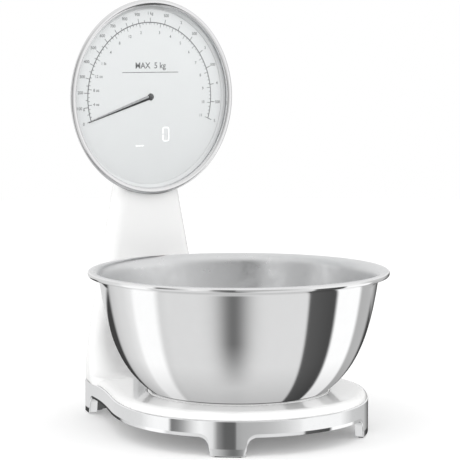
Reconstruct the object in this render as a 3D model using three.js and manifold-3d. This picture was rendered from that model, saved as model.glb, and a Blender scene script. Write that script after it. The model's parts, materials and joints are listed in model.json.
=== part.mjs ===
// Kitchen scale: a round dial on a tapered column, a footed metal base and a lift-off steel bowl.
// Millimetres, +Z up, dial facing -Y. Everything is worked out about the bowl's axis, and the
// finished group is moved so that its origin is the middle of its box, on the table.
import * as THREE from 'three';
import { mergeVertices } from 'three/addons/utils/BufferGeometryUtils.js';
import Module from 'manifold-3d';

const wasm = await Module();
wasm.setup();

// ---- Clearances ----
const fitGap = 0.3;            // between two pieces that rest on each other
const seamGap = 0.45;          // round the weighing plate and the rear cover
const buttonTravel = 1.2;
const buttonProud = 2.1;        // button's cap behind the head's back

// ---- Bowl ----
const bowlRimRadius = 131;
const bowlFootRadius = 77;
const bowlHeight = 104.5;
const bowlWall = 1.2;
const bowlRimBead = 2.6;       // radius of the rolled edge
const bowlLipWidth = 7.4;      // how far the rolled lip stands out from the wall

// ---- Base ----
const legClear = 16.3;         // height of the skirt's lower edge
const skirtTopZ = 30;
const skirtWall = 2.4;
const legDepth = 7;
const legHalfWidth = 14.8;
const legFillet = 9;
const legCorner = 2.4;
const legAzimuth = 41.4;       // of the two front legs, in degrees from the front
const padProud = 0.8;
const padThick = 2.0;
const discRadius = 113;
const neckInset = 19.5;        // how far the waist stands in from the disc's widest point
const neckY = 62;
const neckLean = 24.3;         // degrees
const rearLean = 20;           // degrees
const rearHalfWidth = 60.7;
const rearCorner = 6;
const discEnd = -33.3;         // polar angle where the disc's arc turns into the flank, in degrees
const flankHandles = [47, 44];
const waistHandles = [60, 42];

// ---- White body ----
const bodyWall = 2.4;
const shellTopZ = 37;
const edgeRound = 7.5;         // width of the rounded edge round the base's top
const shellInset = 0.4;        // of the white edge inside the metal skirt
const columnGap = 3.4;         // from the bowl's rim to the column's front
const columnDepth = 20.8;
const columnBackInset = 0.8;   // of the column's back inside the skirt's back
const columnFoot = 63.2;       // half-width where the column meets the base
const columnHead = 27;         // half-width behind the dial's lower edge
const columnFillet = 40;       // sweep from the column's front to the base's top
const frontCorner = 9;
const backCorner = 8;
const footLean = 22;           // degrees, of the column's sides at its foot
const coverMargin = 8.8;       // rear cover's edge inside the column's side
const coverFootZ = 40;
const coverScrewRise = 6.2;    // upper cover screw above the dial's lowest point

// ---- Head ----
const dialCentreZ = 288.2;
const bezelRadius = 89.2;
const bezelFace = 5.8;         // width of the metal ring seen from the front
const bezelAhead = 6.4;        // bezel's crest ahead of the column's front
const bezelCrest = 2.0;        // rise of the ring's rounded face
const bezelDepth = 6.4;
const bezelTaper = 0.75;       // how fast the ring and the dome shrink behind the widest circle
const lensThick = 1.2;
const lensInset = 3.1;         // lens behind the bezel's crest
const needleRoom = 2.4;        // between the lens and the dial
const dialSides = 48;
const dialThick = 1.5;
const headWall = 2.2;
const headFlatRadius = 50;     // of the flat middle of the head's back
const headSeat = 3.5;          // width of the ledge that the dial rests on
const boardRadius = 54;
const boardThick = 1.6;
const needleLength = 70;
const needleZero = 108;        // degrees from the top, towards the left
const shaftRadius = 0.8;
const buttonRadius = 5.5;
const buttonX = 38;
const buttonSpread = 13;       // half the distance between the two buttons

// ---- Weighing works ----
const plateThick = 2.9;
const plateMargin = 2.4;       // plate's edge outside the bowl's foot
const plateProud = 0.2;
const wellWall = 2.2;
const basePlateZ = 17;
const basePlateThick = 2.2;
const cellLength = 70;
const cellWidth = 12;
const cellHeight = 8;
const spacerThick = 1.4;
const batteryRadius = 5.25;
const batteryLength = 44.5;
const batteryPitch = 11;
const batteryCount = 4;
const trayWall = 1.4;
const trayY = 40;              // middle of the battery tray, behind the load cell
const doorThick = 2;
const screwHeadRadius = 2.8;
const screwHeadThick = 1.6;
const screwShankRadius = 1.3;

// ---- Worked out from the sizes above ----
const columnFrontY = bowlRimRadius + columnGap;
const columnBackY = columnFrontY + columnDepth;
const skirtBackY = columnBackY + columnBackInset;
const originY = (skirtBackY + buttonProud - bowlRimRadius) / 2;
const bowlBaseZ = shellTopZ + plateProud + fitGap;
const plateTopZ = shellTopZ + plateProud;
const plateRadius = bowlFootRadius + plateMargin;
const wellRadius = plateRadius + seamGap;
const bezelFrontY = columnFrontY - bezelAhead;
const bezelInner = bezelRadius - bezelFace;
const lensRadius = bezelInner + 1;
const dialRadius = bezelInner + 0.2;
const sleeveRadius = lensRadius + fitGap;
const lensY = bezelFrontY + lensInset;
const dialY = lensY + lensThick + needleRoom;
const headRimY = dialY + dialThick + fitGap;
const domeStartY = bezelFrontY + bezelDepth + fitGap;
const domeRim = bezelRadius - bezelTaper * (domeStartY - bezelFrontY - bezelCrest);
const headBackY = skirtBackY;
const boardY = headRimY + 3.2;
const basePlateTopZ = basePlateZ + basePlateThick;
const cellZ = basePlateTopZ + fitGap + spacerThick + fitGap;
const cellTopZ = cellZ + cellHeight;
const carrierZ = cellTopZ + fitGap + spacerThick + fitGap;
const columnTopZ = dialCentreZ - headFlatRadius - 3;
const batteryZ = basePlateZ + batteryRadius + 0.5;
const batteryRowWidth = batteryPitch * batteryCount;
const trayLength = batteryLength + 5;
const trayTopZ = batteryZ + batteryRadius + fitGap + trayWall;
const doorHalfWidth = batteryRowWidth / 2 + 4;
const doorHalfLength = trayLength / 2 + 3;
const doorTopZ = basePlateZ - fitGap;
const bossRing = (wellRadius + wellWall + discRadius - skirtWall) / 2;

// ---- Materials ----
const finish = (color, roughness, metalness) => ({ color, roughness, metalness });
const finishes = {
  white: finish(0xf6f6f4, 0.22, 0),
  chrome: finish(0xdadde0, 0.08, 1),
  steel: finish(0xc9cbcd, 0.25, 1),
  aluminium: finish(0xb4b7ba, 0.4, 1),
  rubber: finish(0x2b2b2c, 0.85, 0),
  dial: finish(0xe2e3e4, 0.35, 0.2),
  glass: finish(0xeef3f5, 0.03, 0),
  board: finish(0x1f6b3f, 0.5, 0),
  dark: finish(0x2f3134, 0.5, 0),
  plastic: finish(0xcfd0d1, 0.55, 0),
  battery: finish(0x3a5f8a, 0.35, 0.3),
  brass: finish(0xb8963f, 0.35, 1),
  wire: finish(0x8f2f2b, 0.6, 0),
};

// ---- Building blocks ----
const radians = THREE.MathUtils.degToRad;

/** A closed geometry as a manifold solid, turned so that its faces point outwards. */
function solid(geometry) {
  const plain = geometry.clone();
  plain.deleteAttribute('normal');
  plain.deleteAttribute('uv');
  const merged = mergeVertices(plain, 1e-4);
  const vertProperties = new Float32Array(merged.attributes.position.array);
  const triVerts = new Uint32Array(merged.index.array).filter((v, i, all) => {
    const [a, b, c] = all.slice(i - (i % 3), i - (i % 3) + 3);
    return a !== b && b !== c && a !== c;
  });
  if (signedVolume(vertProperties, triVerts) < 0) {
    for (let i = 0; i < triVerts.length; i += 3) {
      [triVerts[i], triVerts[i + 1]] = [triVerts[i + 1], triVerts[i]];
    }
  }
  return new wasm.Manifold(new wasm.Mesh({ numProp: 3, vertProperties, triVerts }));
}

/** Volume inside a triangle mesh, negative when its faces point inwards. */
function signedVolume(points, triangles) {
  const corner = (i) => new THREE.Vector3().fromArray(points, triangles[i] * 3);
  let sum = 0;
  for (let i = 0; i < triangles.length; i += 3) {
    sum += corner(i).dot(corner(i + 1).cross(corner(i + 2)));
  }
  return sum / 6;
}

/** A manifold solid back as a geometry. */
function geometryOf(body) {
  const { vertProperties, triVerts } = body.getMesh();
  const geometry = new THREE.BufferGeometry();
  geometry.setAttribute('position', new THREE.BufferAttribute(new Float32Array(vertProperties), 3));
  geometry.setIndex(new THREE.BufferAttribute(new Uint32Array(triVerts), 1));
  geometry.computeVertexNormals();
  return geometry;
}

function join(...bodies) {
  return bodies.reduce((sum, body) => sum.add(body));
}

function cut(body, ...tools) {
  return tools.reduce((rest, tool) => rest.subtract(tool), body);
}

/** A box between two corners. */
function box([x0, y0, z0], [x1, y1, z1]) {
  const geometry = new THREE.BoxGeometry(x1 - x0, y1 - y0, z1 - z0);
  geometry.translate((x0 + x1) / 2, (y0 + y1) / 2, (z0 + z1) / 2);
  return solid(geometry);
}

/** A round bar standing along Z from z0 to z1. */
function barZ(radius, [x, y], z0, z1, sides = 16) {
  const geometry = new THREE.CylinderGeometry(radius, radius, z1 - z0, sides);
  geometry.rotateX(Math.PI / 2);
  geometry.translate(x, y, (z0 + z1) / 2);
  return solid(geometry);
}

/** A round bar lying along Y from y0 to y1. */
function barY(radius, [x, z], y0, y1, sides = 16) {
  const geometry = new THREE.CylinderGeometry(radius, radius, y1 - y0, sides);
  geometry.translate(x, (y0 + y1) / 2, z);
  return solid(geometry);
}

/** A ring or disc turned about the dial's axis, from (radius, y) points. */
function turnedOnDial(profile, sides) {
  const geometry = new THREE.LatheGeometry(profile.map(([r, y]) => new THREE.Vector2(r, y)), sides);
  geometry.translate(0, 0, dialCentreZ);
  return solid(geometry);
}

/** A ring or disc turned about the bowl's axis, from (radius, z) points. */
function turnedOnBowl(profile, sides) {
  const geometry = new THREE.LatheGeometry(profile.map(([r, z]) => new THREE.Vector2(r, z)), sides);
  geometry.rotateX(Math.PI / 2);
  return solid(geometry);
}

/** An outline of [x, z] points pushed along Y from y0 to y1. */
function panel(outline, y0, y1) {
  const shape = new THREE.Shape(outline.map(([x, z]) => new THREE.Vector2(x, z)));
  const geometry = new THREE.ExtrudeGeometry(shape, { depth: y1 - y0, bevelEnabled: false });
  geometry.rotateX(Math.PI / 2);
  geometry.translate(0, y1, 0);
  return solid(geometry);
}

/** A skin over closed rings of equal point count, lowest first, with flat ends. */
function loft(levels) {
  const flatten = (ring) => ring.map(([x, y]) => new THREE.Vector2(x, y));
  const clockwise = THREE.ShapeUtils.isClockWise(flatten(levels[0]));
  const rings = clockwise ? levels.map((ring) => ring.slice().reverse()) : levels;
  const count = rings[0].length;
  const index = [];
  for (let r = 0; r + 1 < rings.length; r++) {
    for (let i = 0; i < count; i++) {
      const j = (i + 1) % count;
      const a = r * count;
      const b = a + count;
      index.push(a + i, a + j, b + j, a + i, b + j, b + i);
    }
  }
  const last = (rings.length - 1) * count;
  const ends = [[rings[0], 0, true], [rings[rings.length - 1], last, false]];
  for (const [ring, start, flip] of ends) {
    for (const [a, b, c] of THREE.ShapeUtils.triangulateShape(flatten(ring), [])) {
      index.push(start + a, start + (flip ? c : b), start + (flip ? b : c));
    }
  }
  const geometry = new THREE.BufferGeometry();
  geometry.setAttribute('position', new THREE.Float32BufferAttribute(rings.flat(2), 3));
  geometry.setIndex(index);
  return solid(geometry);
}

/** A round tube of eight sides along a smooth curve through the points. */
function tube(points, radius, steps) {
  const path = new THREE.CatmullRomCurve3(points.map((p) => new THREE.Vector3(...p)));
  const section = new THREE.Shape();
  for (let i = 0; i < 8; i++) {
    const angle = (i / 8) * 2 * Math.PI;
    const corner = [radius * Math.cos(angle), radius * Math.sin(angle)];
    if (i === 0) section.moveTo(...corner);
    else section.lineTo(...corner);
  }
  section.closePath();
  return solid(new THREE.ExtrudeGeometry(section, { steps, extrudePath: path, bevelEnabled: false }));
}

/** Points on an arc about a centre, from one angle to another, in degrees. */
function arc([cx, cy], radius, from, to, steps) {
  return Array.from({ length: steps + 1 }, (_, i) => {
    const angle = radians(from + ((to - from) * i) / steps);
    return [cx + radius * Math.cos(angle), cy + radius * Math.sin(angle)];
  });
}

/** A screw that points up from its head, or down with up = -1. */
function screw([x, y], headZ, length, up = 1) {
  const [z0, z1] = [headZ, headZ + up * screwHeadThick].sort((a, b) => a - b);
  const [s0, s1] = [headZ, headZ + up * length].sort((a, b) => a - b);
  const head = barZ(screwHeadRadius, [x, y], z0, z1, 12);
  const shank = barZ(screwShankRadius, [x, y], s0, s1, 8);
  return join(head, shank);
}

/** A screw lying along Y, its head at headY and its point towards +Y, or -Y with along = -1. */
function screwY([x, z], headY, length, along = 1) {
  const [y0, y1] = [headY, headY + along * screwHeadThick].sort((a, b) => a - b);
  const [s0, s1] = [headY, headY + along * length].sort((a, b) => a - b);
  const head = barY(screwHeadRadius, [x, z], y0, y1, 12);
  const shank = barY(screwShankRadius, [x, z], s0, s1, 8);
  return join(head, shank);
}

// ---- The base's plan ----

/** Point and unit tangent of a cubic curve with the given corner points. */
function cubic([p0, p1, p2, p3], t) {
  const s = 1 - t;
  const mix = (a, b, c, d) => s * s * s * a + 3 * s * s * t * b + 3 * s * t * t * c + t * t * t * d;
  const slope = (a, b, c, d) => s * s * (b - a) + 2 * s * t * (c - b) + t * t * (d - c);
  const x = mix(p0[0], p1[0], p2[0], p3[0]);
  const y = mix(p0[1], p1[1], p2[1], p3[1]);
  const dx = slope(p0[0], p1[0], p2[0], p3[0]);
  const dy = slope(p0[1], p1[1], p2[1], p3[1]);
  const length = Math.hypot(dx, dy);
  return { x, y, tx: dx / length, ty: dy / length };
}

/** The right flank as two cubics: disc to waist, and waist to rear corner. */
function flankCurves() {
  const end = radians(discEnd);
  const leave = [discRadius * Math.cos(end), discRadius * Math.sin(end)];
  const leaveWay = [-Math.sin(end), Math.cos(end)];
  const waist = [discRadius - neckInset, neckY];
  const waistWay = [-Math.sin(radians(neckLean)), Math.cos(radians(neckLean))];
  const corner = [rearHalfWidth, skirtBackY];
  const cornerWay = [-Math.sin(radians(rearLean)), Math.cos(radians(rearLean))];
  const along = (p, way, length) => [p[0] + way[0] * length, p[1] + way[1] * length];
  return [
    [leave, along(leave, leaveWay, flankHandles[0]), along(waist, waistWay, -flankHandles[1]), waist],
    [waist, along(waist, waistWay, waistHandles[0]), along(corner, cornerWay, -waistHandles[1]), corner],
  ];
}

/** The base's outline, moved in by inset: disc arc, flank, waist and rounded rear corners. */
function plan(inset) {
  const right = arc([0, 0], discRadius - inset, -90, discEnd, 8);
  const [flank, waist] = flankCurves();
  const moved = (curve, t) => {
    const { x, y, tx, ty } = cubic(curve, t);
    return [x - ty * inset, y + tx * inset];
  };
  for (let i = 1; i <= 5; i++) right.push(moved(flank, i / 5));
  const lean = radians(rearLean);
  const backY = skirtBackY - inset;
  const corner = moved(waist, 1);
  const sharpX = corner[0] - (backY - corner[1]) * Math.tan(lean);
  const radius = Math.max(rearCorner - inset, 0.8);
  const reach = radius * Math.tan((Math.PI / 2 - lean) / 2);
  const turnY = backY - reach * Math.cos(lean);
  let stop = 1;
  while (moved(waist, stop)[1] > turnY - 0.5) stop -= 0.005;
  for (let i = 1; i <= 5; i++) right.push(moved(waist, (stop * i) / 5));
  right.push(...arc([sharpX - reach, backY - radius], radius, rearLean, 90, 4));
  const left = right.slice(1).reverse().map(([x, y]) => [-x, y]);
  return [...right, ...left];
}

const atHeight = (outline, z) => outline.map(([x, y]) => [x, y, z]);

// ---- Metal skirt and its feet ----

/** How much wider a leg is at height z than at its foot: round toe, slight taper, fillet at the top. */
function legFlare(z) {
  const toe = padProud + legCorner;
  const filletZ = legClear - legFillet;
  if (z < toe) return Math.sqrt(Math.max(legCorner ** 2 - (toe - z) ** 2, 0)) - legCorner;
  const taper = 0.22 * (Math.min(z, filletZ) - toe);
  if (z < filletZ) return taper;
  return taper + legFillet - Math.sqrt(Math.max(legFillet ** 2 - (z - filletZ) ** 2, 0));
}

const legLevels = [
  padProud, padProud + 0.7, padProud + legCorner, legClear - legFillet, legClear - 0.45 * legFillet,
  legClear - 0.15 * legFillet, legClear, legClear + 1,
];

/** Blocks that pick out the two front legs and the two rear corner legs from the skirt's band. */
function legBlocks() {
  const blocks = [];
  for (const side of [-1, 1]) {
    const azimuth = radians(legAzimuth * side);
    const way = [Math.sin(azimuth), -Math.cos(azimuth)];
    const across = [Math.cos(azimuth), Math.sin(azimuth)];
    const corners = (z) => {
      const half = legHalfWidth + legFlare(z);
      return [[-half, 80], [-half, 150], [half, 150], [half, 80]].map(([u, v]) => [
        across[0] * u + way[0] * v,
        across[1] * u + way[1] * v,
        z,
      ]);
    };
    blocks.push(loft(legLevels.map(corners)));
    const rear = (z) => {
      const flare = legFlare(z);
      const inner = rearHalfWidth - 20 - flare;
      const front = skirtBackY - 18 - flare;
      return [[inner, front], [100, front], [100, skirtBackY + 10], [inner, skirtBackY + 10]].map(
        ([x, y]) => [x * side, y, z],
      );
    };
    blocks.push(loft(legLevels.map(rear)));
  }
  return blocks;
}

/** Middle of each foot pad, its turn about Z and its length. */
const padPlaces = [
  ['front_left', -legAzimuth],
  ['front_right', legAzimuth],
].map(([name, azimuth]) => ({
  name,
  x: (discRadius - legDepth / 2) * Math.sin(radians(azimuth)),
  y: -(discRadius - legDepth / 2) * Math.cos(radians(azimuth)),
  turn: azimuth,
  length: 22,
})).concat([
  { name: 'rear_left', x: 9.6 - rearHalfWidth, y: skirtBackY - legDepth / 2, turn: 0, length: 13 },
  { name: 'rear_right', x: rearHalfWidth - 9.6, y: skirtBackY - legDepth / 2, turn: 0, length: 13 },
]);

/** A block in a foot pad's place, wider all round by grow. */
function padBlock({ x, y, turn, length }, grow, z0, z1) {
  const geometry = new THREE.BoxGeometry(length + 2 * grow, 4.4 + 2 * grow, z1 - z0);
  geometry.rotateZ(radians(turn));
  geometry.translate(x, y, (z0 + z1) / 2);
  return solid(geometry);
}

/** Chrome band that follows the plan, with four feet drawn down from it. */
function baseSkirt() {
  const outside = loft([atHeight(plan(0), padProud), atHeight(plan(0), skirtTopZ)]);
  const inside = loft([atHeight(plan(skirtWall), legClear), atHeight(plan(skirtWall), skirtTopZ + 1)]);
  const under = loft([atHeight(plan(legDepth), padProud - 1), atHeight(plan(legDepth), legClear + 0.5)]);
  const hollow = cut(outside, inside, under);
  const band = hollow.intersect(box([-200, -200, legClear], [200, 200, skirtTopZ]));
  const legs = hollow.intersect(join(...legBlocks()));
  const recesses = padPlaces.map((place) => padBlock(place, fitGap, -1, padThick + fitGap));
  return cut(join(band, legs), ...recesses);
}

// ---- White body ----

const sweepTopZ = shellTopZ + columnFillet;

/** Half-width of the column at height z, from a cubic that leaves the base upright. */
function columnHalfWidth(z) {
  const reach = columnTopZ - shellTopZ;
  const curve = [
    [columnFoot, shellTopZ],
    [columnFoot, shellTopZ + 0.18 * reach],
    [columnHead + 0.064 * reach, columnTopZ - 0.34 * reach],
    [columnHead, columnTopZ],
  ];
  let low = 0;
  let high = 1;
  for (let i = 0; i < 30; i++) {
    const middle = (low + high) / 2;
    if (cubic(curve, middle).y < z) low = middle;
    else high = middle;
  }
  return cubic(curve, low).x;
}

/** How far the column's front has swept forward at height z. */
function columnSweep(z) {
  const up = Math.min(Math.max(z - shellTopZ, 0), columnFillet);
  return columnFillet - Math.sqrt(columnFillet ** 2 - (columnFillet - up) ** 2);
}

/** Section of the column at height z, moved in by inset: four rounded corners, sides leaning out. */
function columnSection(z, inset, at = z) {
  const sweep = columnSweep(z);
  const rise = Math.min(Math.max((z - shellTopZ) / (2 * columnFillet), 0), 1);
  const lean = footLean * (1 - rise) ** 2;
  const n = [Math.cos(radians(lean)), Math.sin(radians(lean))];
  const half = columnHalfWidth(Math.min(Math.max(z, shellTopZ), columnTopZ));
  const back = [half - backCorner, columnBackY - backCorner];
  const radius = frontCorner + 0.45 * sweep;
  const frontY = columnFrontY - sweep;
  const start = [back[0] + backCorner * n[0], back[1] + backCorner * n[1]];
  const along = (start[1] - radius * n[1] - (frontY + radius)) / n[0];
  const front = [start[0] + along * n[1] - radius * n[0], frontY + radius];
  const right = [
    ...arc(front, radius - inset, -90, lean, 5),
    ...arc(back, backCorner - inset, lean, 90, 4),
  ];
  const left = right.slice().reverse().map(([x, y]) => [-x, y]);
  return atHeight([...right, ...left], at);
}

/** The column as a solid, moved in by inset all round. */
function columnSolid(inset, footZ, topZ) {
  const levels = [footZ];
  for (const share of [0.006, 0.05, 0.14, 0.3, 0.55, 1]) {
    levels.push(shellTopZ + share * columnFillet - inset);
  }
  const steps = 4;
  for (let i = 1; i <= steps; i++) levels.push(sweepTopZ + ((topZ - sweepTopZ) * i) / steps);
  return loft(levels.map((z) => columnSection(z + inset, inset, z)));
}

/** The space the head takes up, grown by gap: bezel, dome and flat back. */
function headEnvelope(gap) {
  return turnedOnDial([
    [0, bezelFrontY - 20],
    [bezelRadius + gap, bezelFrontY - 20],
    [bezelRadius + gap, bezelFrontY + bezelCrest + gap],
    ...domeLine(gap),
    [0, headBackY + gap],
  ], 44);
}

/** The dome's outer line from the bezel to its flat back, moved out by gap. */
function domeLine(gap) {
  const handle = 8.4;
  const curve = [
    [domeRim, domeStartY],
    [domeRim - handle * bezelTaper, domeStartY + handle],
    [headFlatRadius + 16, headBackY],
    [headFlatRadius, headBackY],
  ];
  return Array.from({ length: 7 }, (_, i) => {
    const { x, y, tx, ty } = cubic(curve, i / 6);
    return [x + ty * gap, y - tx * gap];
  });
}

/** The rear cover's outline on the column's back, moved in by inset. */
function coverOutline(inset) {
  const top = columnTopZ - 6;
  const levels = Array.from({ length: 7 }, (_, i) => coverFootZ + ((top - coverFootZ) * i) / 6);
  const right = levels.map((z, i) => {
    const edge = i === 0 ? inset : i === 6 ? -inset : 0;
    return [columnHalfWidth(z) - coverMargin - inset, z + edge];
  });
  const left = right.slice().reverse().map(([x, z]) => [-x, z]);
  return [...right, ...left];
}

const bossPlaces = [[-1, -1], [1, -1], [-1, 1], [1, 1]].map(([sx, sy]) => {
  const angle = radians(sy < 0 ? 72 : 48);
  return [sx * bossRing * Math.cos(angle), sy * bossRing * Math.sin(angle)];
});

/** White moulding: the base's top, the well for the plate and the hollow column. */
function bodyShell() {
  const edge = [[0, skirtTopZ + fitGap], [0.1, 0.3], [0.28, 0.6], [0.55, 0.84], [1, 1]].map(
    ([share, up], i) => {
      const z = i === 0 ? up : skirtTopZ + fitGap + up * (shellTopZ - skirtTopZ - fitGap);
      return atHeight(plan(shellInset + share * edgeRound), z);
    },
  );
  const base = loft(edge);
  const column = columnSolid(0, skirtTopZ + fitGap, columnTopZ);
  const inner = plan(shellInset + bodyWall);
  const baseHollow = loft([atHeight(inner, skirtTopZ - 2), atHeight(inner, shellTopZ - bodyWall)]);
  const columnHollow = columnSolid(bodyWall, skirtTopZ - 2, columnTopZ + 2);
  const well = [0, 0];
  const collar = cut(
    barZ(wellRadius + wellWall, well, cellTopZ - 2, shellTopZ - bodyWall / 2, 40),
    barZ(wellRadius, well, cellTopZ - 3, shellTopZ + 1, 40),
  );
  const bosses = bossPlaces.map((p) => barZ(3.6, p, basePlateTopZ + fitGap, shellTopZ - bodyWall / 2));
  const pilots = bossPlaces.map((p) => {
    const top = basePlateTopZ + 9;
    return barZ(screwShankRadius + fitGap, p, basePlateTopZ - 1, top, 12);
  });
  const hollowed = cut(join(base, column), baseHollow, columnHollow, barZ(wellRadius, well, 0, 60, 40));
  const opened = cut(hollowed, panel(coverOutline(-seamGap), columnBackY - 6, columnBackY + 2));
  const seated = cut(opened, headEnvelope(fitGap));
  return cut(join(seated, collar, ...bosses), ...pilots);
}

const coverScrewPlaces = [coverFootZ + 12, dialCentreZ - bezelRadius + coverScrewRise].map((z) => [0, z]);

/** Flat white cover that closes the column's back. */
function columnRearCover() {
  const plate = panel(coverOutline(0), columnBackY - bodyWall, columnBackY);
  const sinks = coverScrewPlaces.flatMap((place) => [
    barY(screwHeadRadius + fitGap, place, columnBackY - screwHeadThick - fitGap, columnBackY + 1),
    barY(screwShankRadius + fitGap, place, columnBackY - 4, columnBackY + 1, 12),
  ]);
  return cut(plate, headEnvelope(fitGap), ...sinks);
}

const spineWebY = columnBackY - 10;
const spineHalf = 13;
const slotHalf = 24;           // of the head's opening for the spine and the column's top
const spineTopZ = dialCentreZ - boardRadius - 2;
const headScrewPlaces = [-8, 8].map((x) => [x, spineTopZ - 7]);
const spineScrewPlaces = [-18, 18].map((x) => [x, spineWebY - 3]);

/** Folded steel channel inside the column: it stands on the base plate and carries the head. */
function spineBracket() {
  const foot = basePlateTopZ + fitGap;
  const web = box([-spineHalf, spineWebY, foot], [spineHalf, spineWebY + 1.5, spineTopZ]);
  const flanges = [-1, 1].map((side) => {
    const [x0, x1] = [side * spineHalf, side * (spineHalf - 1.5)].sort((a, b) => a - b);
    return box([x0, spineWebY - 7, foot], [x1, spineWebY + 1.5, columnTopZ - 14]);
  });
  const flange = box([-24, spineWebY - 7, foot], [24, spineWebY + 1.5, foot + 1.5]);
  const across = headScrewPlaces.map((p) => {
    return barY(screwShankRadius + fitGap, p, spineWebY - 1, spineWebY + 3, 12);
  });
  const down = spineScrewPlaces.map((p) => barZ(screwShankRadius + fitGap, p, foot - 1, foot + 3, 12));
  const stiff = coverScrewPlaces.map((p) => {
    return join(barY(3.4, p, spineWebY + 1, columnBackY - bodyWall - fitGap));
  });
  const bores = coverScrewPlaces.map((p) => {
    return barY(screwShankRadius + fitGap, p, spineWebY - 3, columnBackY, 12);
  });
  return cut(join(web, ...flanges, flange, ...stiff), ...across, ...down, ...bores);
}

// ---- Head ----

const buttonPlaces = {
  tare_button: [buttonX, dialCentreZ + buttonSpread],
  unit_button: [buttonX, dialCentreZ - buttonSpread],
};
const postPlaces = [[-40, 24], [26, 40], [-40, -24], [26, -40]].map(([x, z]) => [x, dialCentreZ + z]);

/** Polished ring that holds the lens: rounded face, lip over the glass and a sleeve behind. */
function bezelRing() {
  const y = bezelFrontY;
  const sleeveEnd = y + bezelDepth;
  const middle = (bezelInner + bezelRadius) / 2;
  const crown = [160, 130, 105, 75, 50, 20, 0].map((angle) => [
    middle + (bezelFace / 2) * Math.cos(radians(angle)),
    y + bezelCrest * (1 - Math.sin(radians(angle))),
  ]);
  return turnedOnDial([
    [bezelInner, lensY - fitGap],
    ...crown,
    [bezelRadius - bezelTaper * (bezelDepth - bezelCrest), sleeveEnd],
    [sleeveRadius, sleeveEnd],
    [sleeveRadius, lensY - fitGap],
    [bezelInner, lensY - fitGap],
  ], dialSides);
}

/** Flat glass with a small chamfer. */
function dialLens() {
  const edge = 0.25;
  return turnedOnDial([
    [0, lensY],
    [lensRadius - edge, lensY],
    [lensRadius, lensY + edge],
    [lensRadius, lensY + lensThick],
    [0, lensY + lensThick],
  ], dialSides);
}

/** Ring that keeps the lens off the dial. */
function dialSpacerRing() {
  const [y0, y1] = [lensY + lensThick + fitGap, dialY - fitGap];
  const [front, back] = [bezelInner + 0.2, bezelInner - 3.4];
  return turnedOnDial([[front, y0], [lensRadius, y0], [lensRadius, y1], [back, y1], [front, y0]], dialSides);
}

/** Printed dial with a hole for the needle's shaft. */
function dialPlate() {
  const hole = shaftRadius + 1.2;
  const [y0, y1] = [dialY, dialY + dialThick];
  return turnedOnDial([[hole, y0], [dialRadius, y0], [dialRadius, y1], [hole, y1], [hole, y0]], dialSides);
}

/** Domed white back of the head, with board posts, button holes and a slot for spine and wires. */
function headHousing() {
  const rim = dialRadius + fitGap;
  const inner = rim - headSeat;
  const back = headBackY - headWall;
  const dome = domeLine(0);
  const inside = domeLine(-headWall).filter(([r, y]) => r < inner && y > headRimY + 0.5);
  const shell = turnedOnDial([
    [inner, headRimY],
    [rim, headRimY],
    [rim, domeStartY],
    ...dome,
    [0, headBackY],
    [0, back],
    ...inside.reverse(),
    [inner, headRimY],
  ], dialSides);
  const posts = postPlaces.map((p) => barY(3, p, boardY + boardThick + fitGap, back + 0.5, 12));
  const bosses = headScrewPlaces.map((p) => barY(3, p, spineWebY + 1.5 + fitGap, back, 12));
  const solidDome = turnedOnDial([[0, headRimY], [inner, headRimY], ...domeLine(-0.6), [0, back]], dialSides);
  const supports = join(...posts, ...bosses).intersect(solidDome);
  const holes = Object.values(buttonPlaces).map((p) => {
    return barY(buttonRadius + seamGap, p, back - 2, headBackY + 2, 28);
  });
  const slotTop = spineTopZ + 1;
  const slotFoot = dialCentreZ - bezelRadius - 1;
  const slot = box([-slotHalf, spineWebY - 8, slotFoot], [slotHalf, spineWebY + 3, slotTop]);
  const bores = headScrewPlaces.map((p) => {
    return barY(screwShankRadius + fitGap, p, spineWebY, spineWebY + 5, 12);
  });
  return cut(join(cut(shell, slot), supports), ...holes, ...bores);
}

/** Round circuit board behind the dial, cut away under the spine. */
function headBoard() {
  const disc = barY(boardRadius, [0, dialCentreZ], boardY, boardY + boardThick, 40);
  const face = boardY + boardThick - 0.1;
  const driver = box([-34, face, dialCentreZ + 20], [-14, boardY + 3.4, dialCentreZ + 32]);
  const plug = box([-6, face, dialCentreZ - 40], [12, boardY + 6.2, dialCentreZ - 32]);
  return cut(join(disc, driver, plug), barY(shaftRadius + 1.4, [0, dialCentreZ], boardY - 2, boardY + 4));
}

/** Seven-segment display block that shines through the dial. */
function ledDisplay() {
  const [x0, x1] = [-20, 24];
  const [z0, z1] = [dialCentreZ - 46.5, dialCentreZ - 26];
  return box([x0, dialY + dialThick + fitGap, z0], [x1, boardY - fitGap, z1]);
}

/** Stepper that turns the needle: round body with two mounting ears. */
function needleMotor() {
  const y0 = boardY + boardThick + fitGap;
  const body = barY(13, [0, dialCentreZ], y0, y0 + 8.5, 28);
  const ears = box([-19, y0, dialCentreZ - 3.5], [19, y0 + 2.4, dialCentreZ + 3.5]);
  const bore = barY(shaftRadius + fitGap, [0, dialCentreZ], y0 - 1, y0 + 6.5, 12);
  return cut(join(body, ears), bore);
}

/** Small push switch on the back of the head board, behind one button. */
function pushSwitch([x, z]) {
  const y0 = boardY + boardThick + fitGap;
  const tipY = headBackY - 10.4;
  const base = box([x - 3, y0, z - 3], [x + 3, y0 + 3.4, z + 3]);
  return join(base, barY(1.6, [x, z], y0 + 3, tipY, 12));
}

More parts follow.
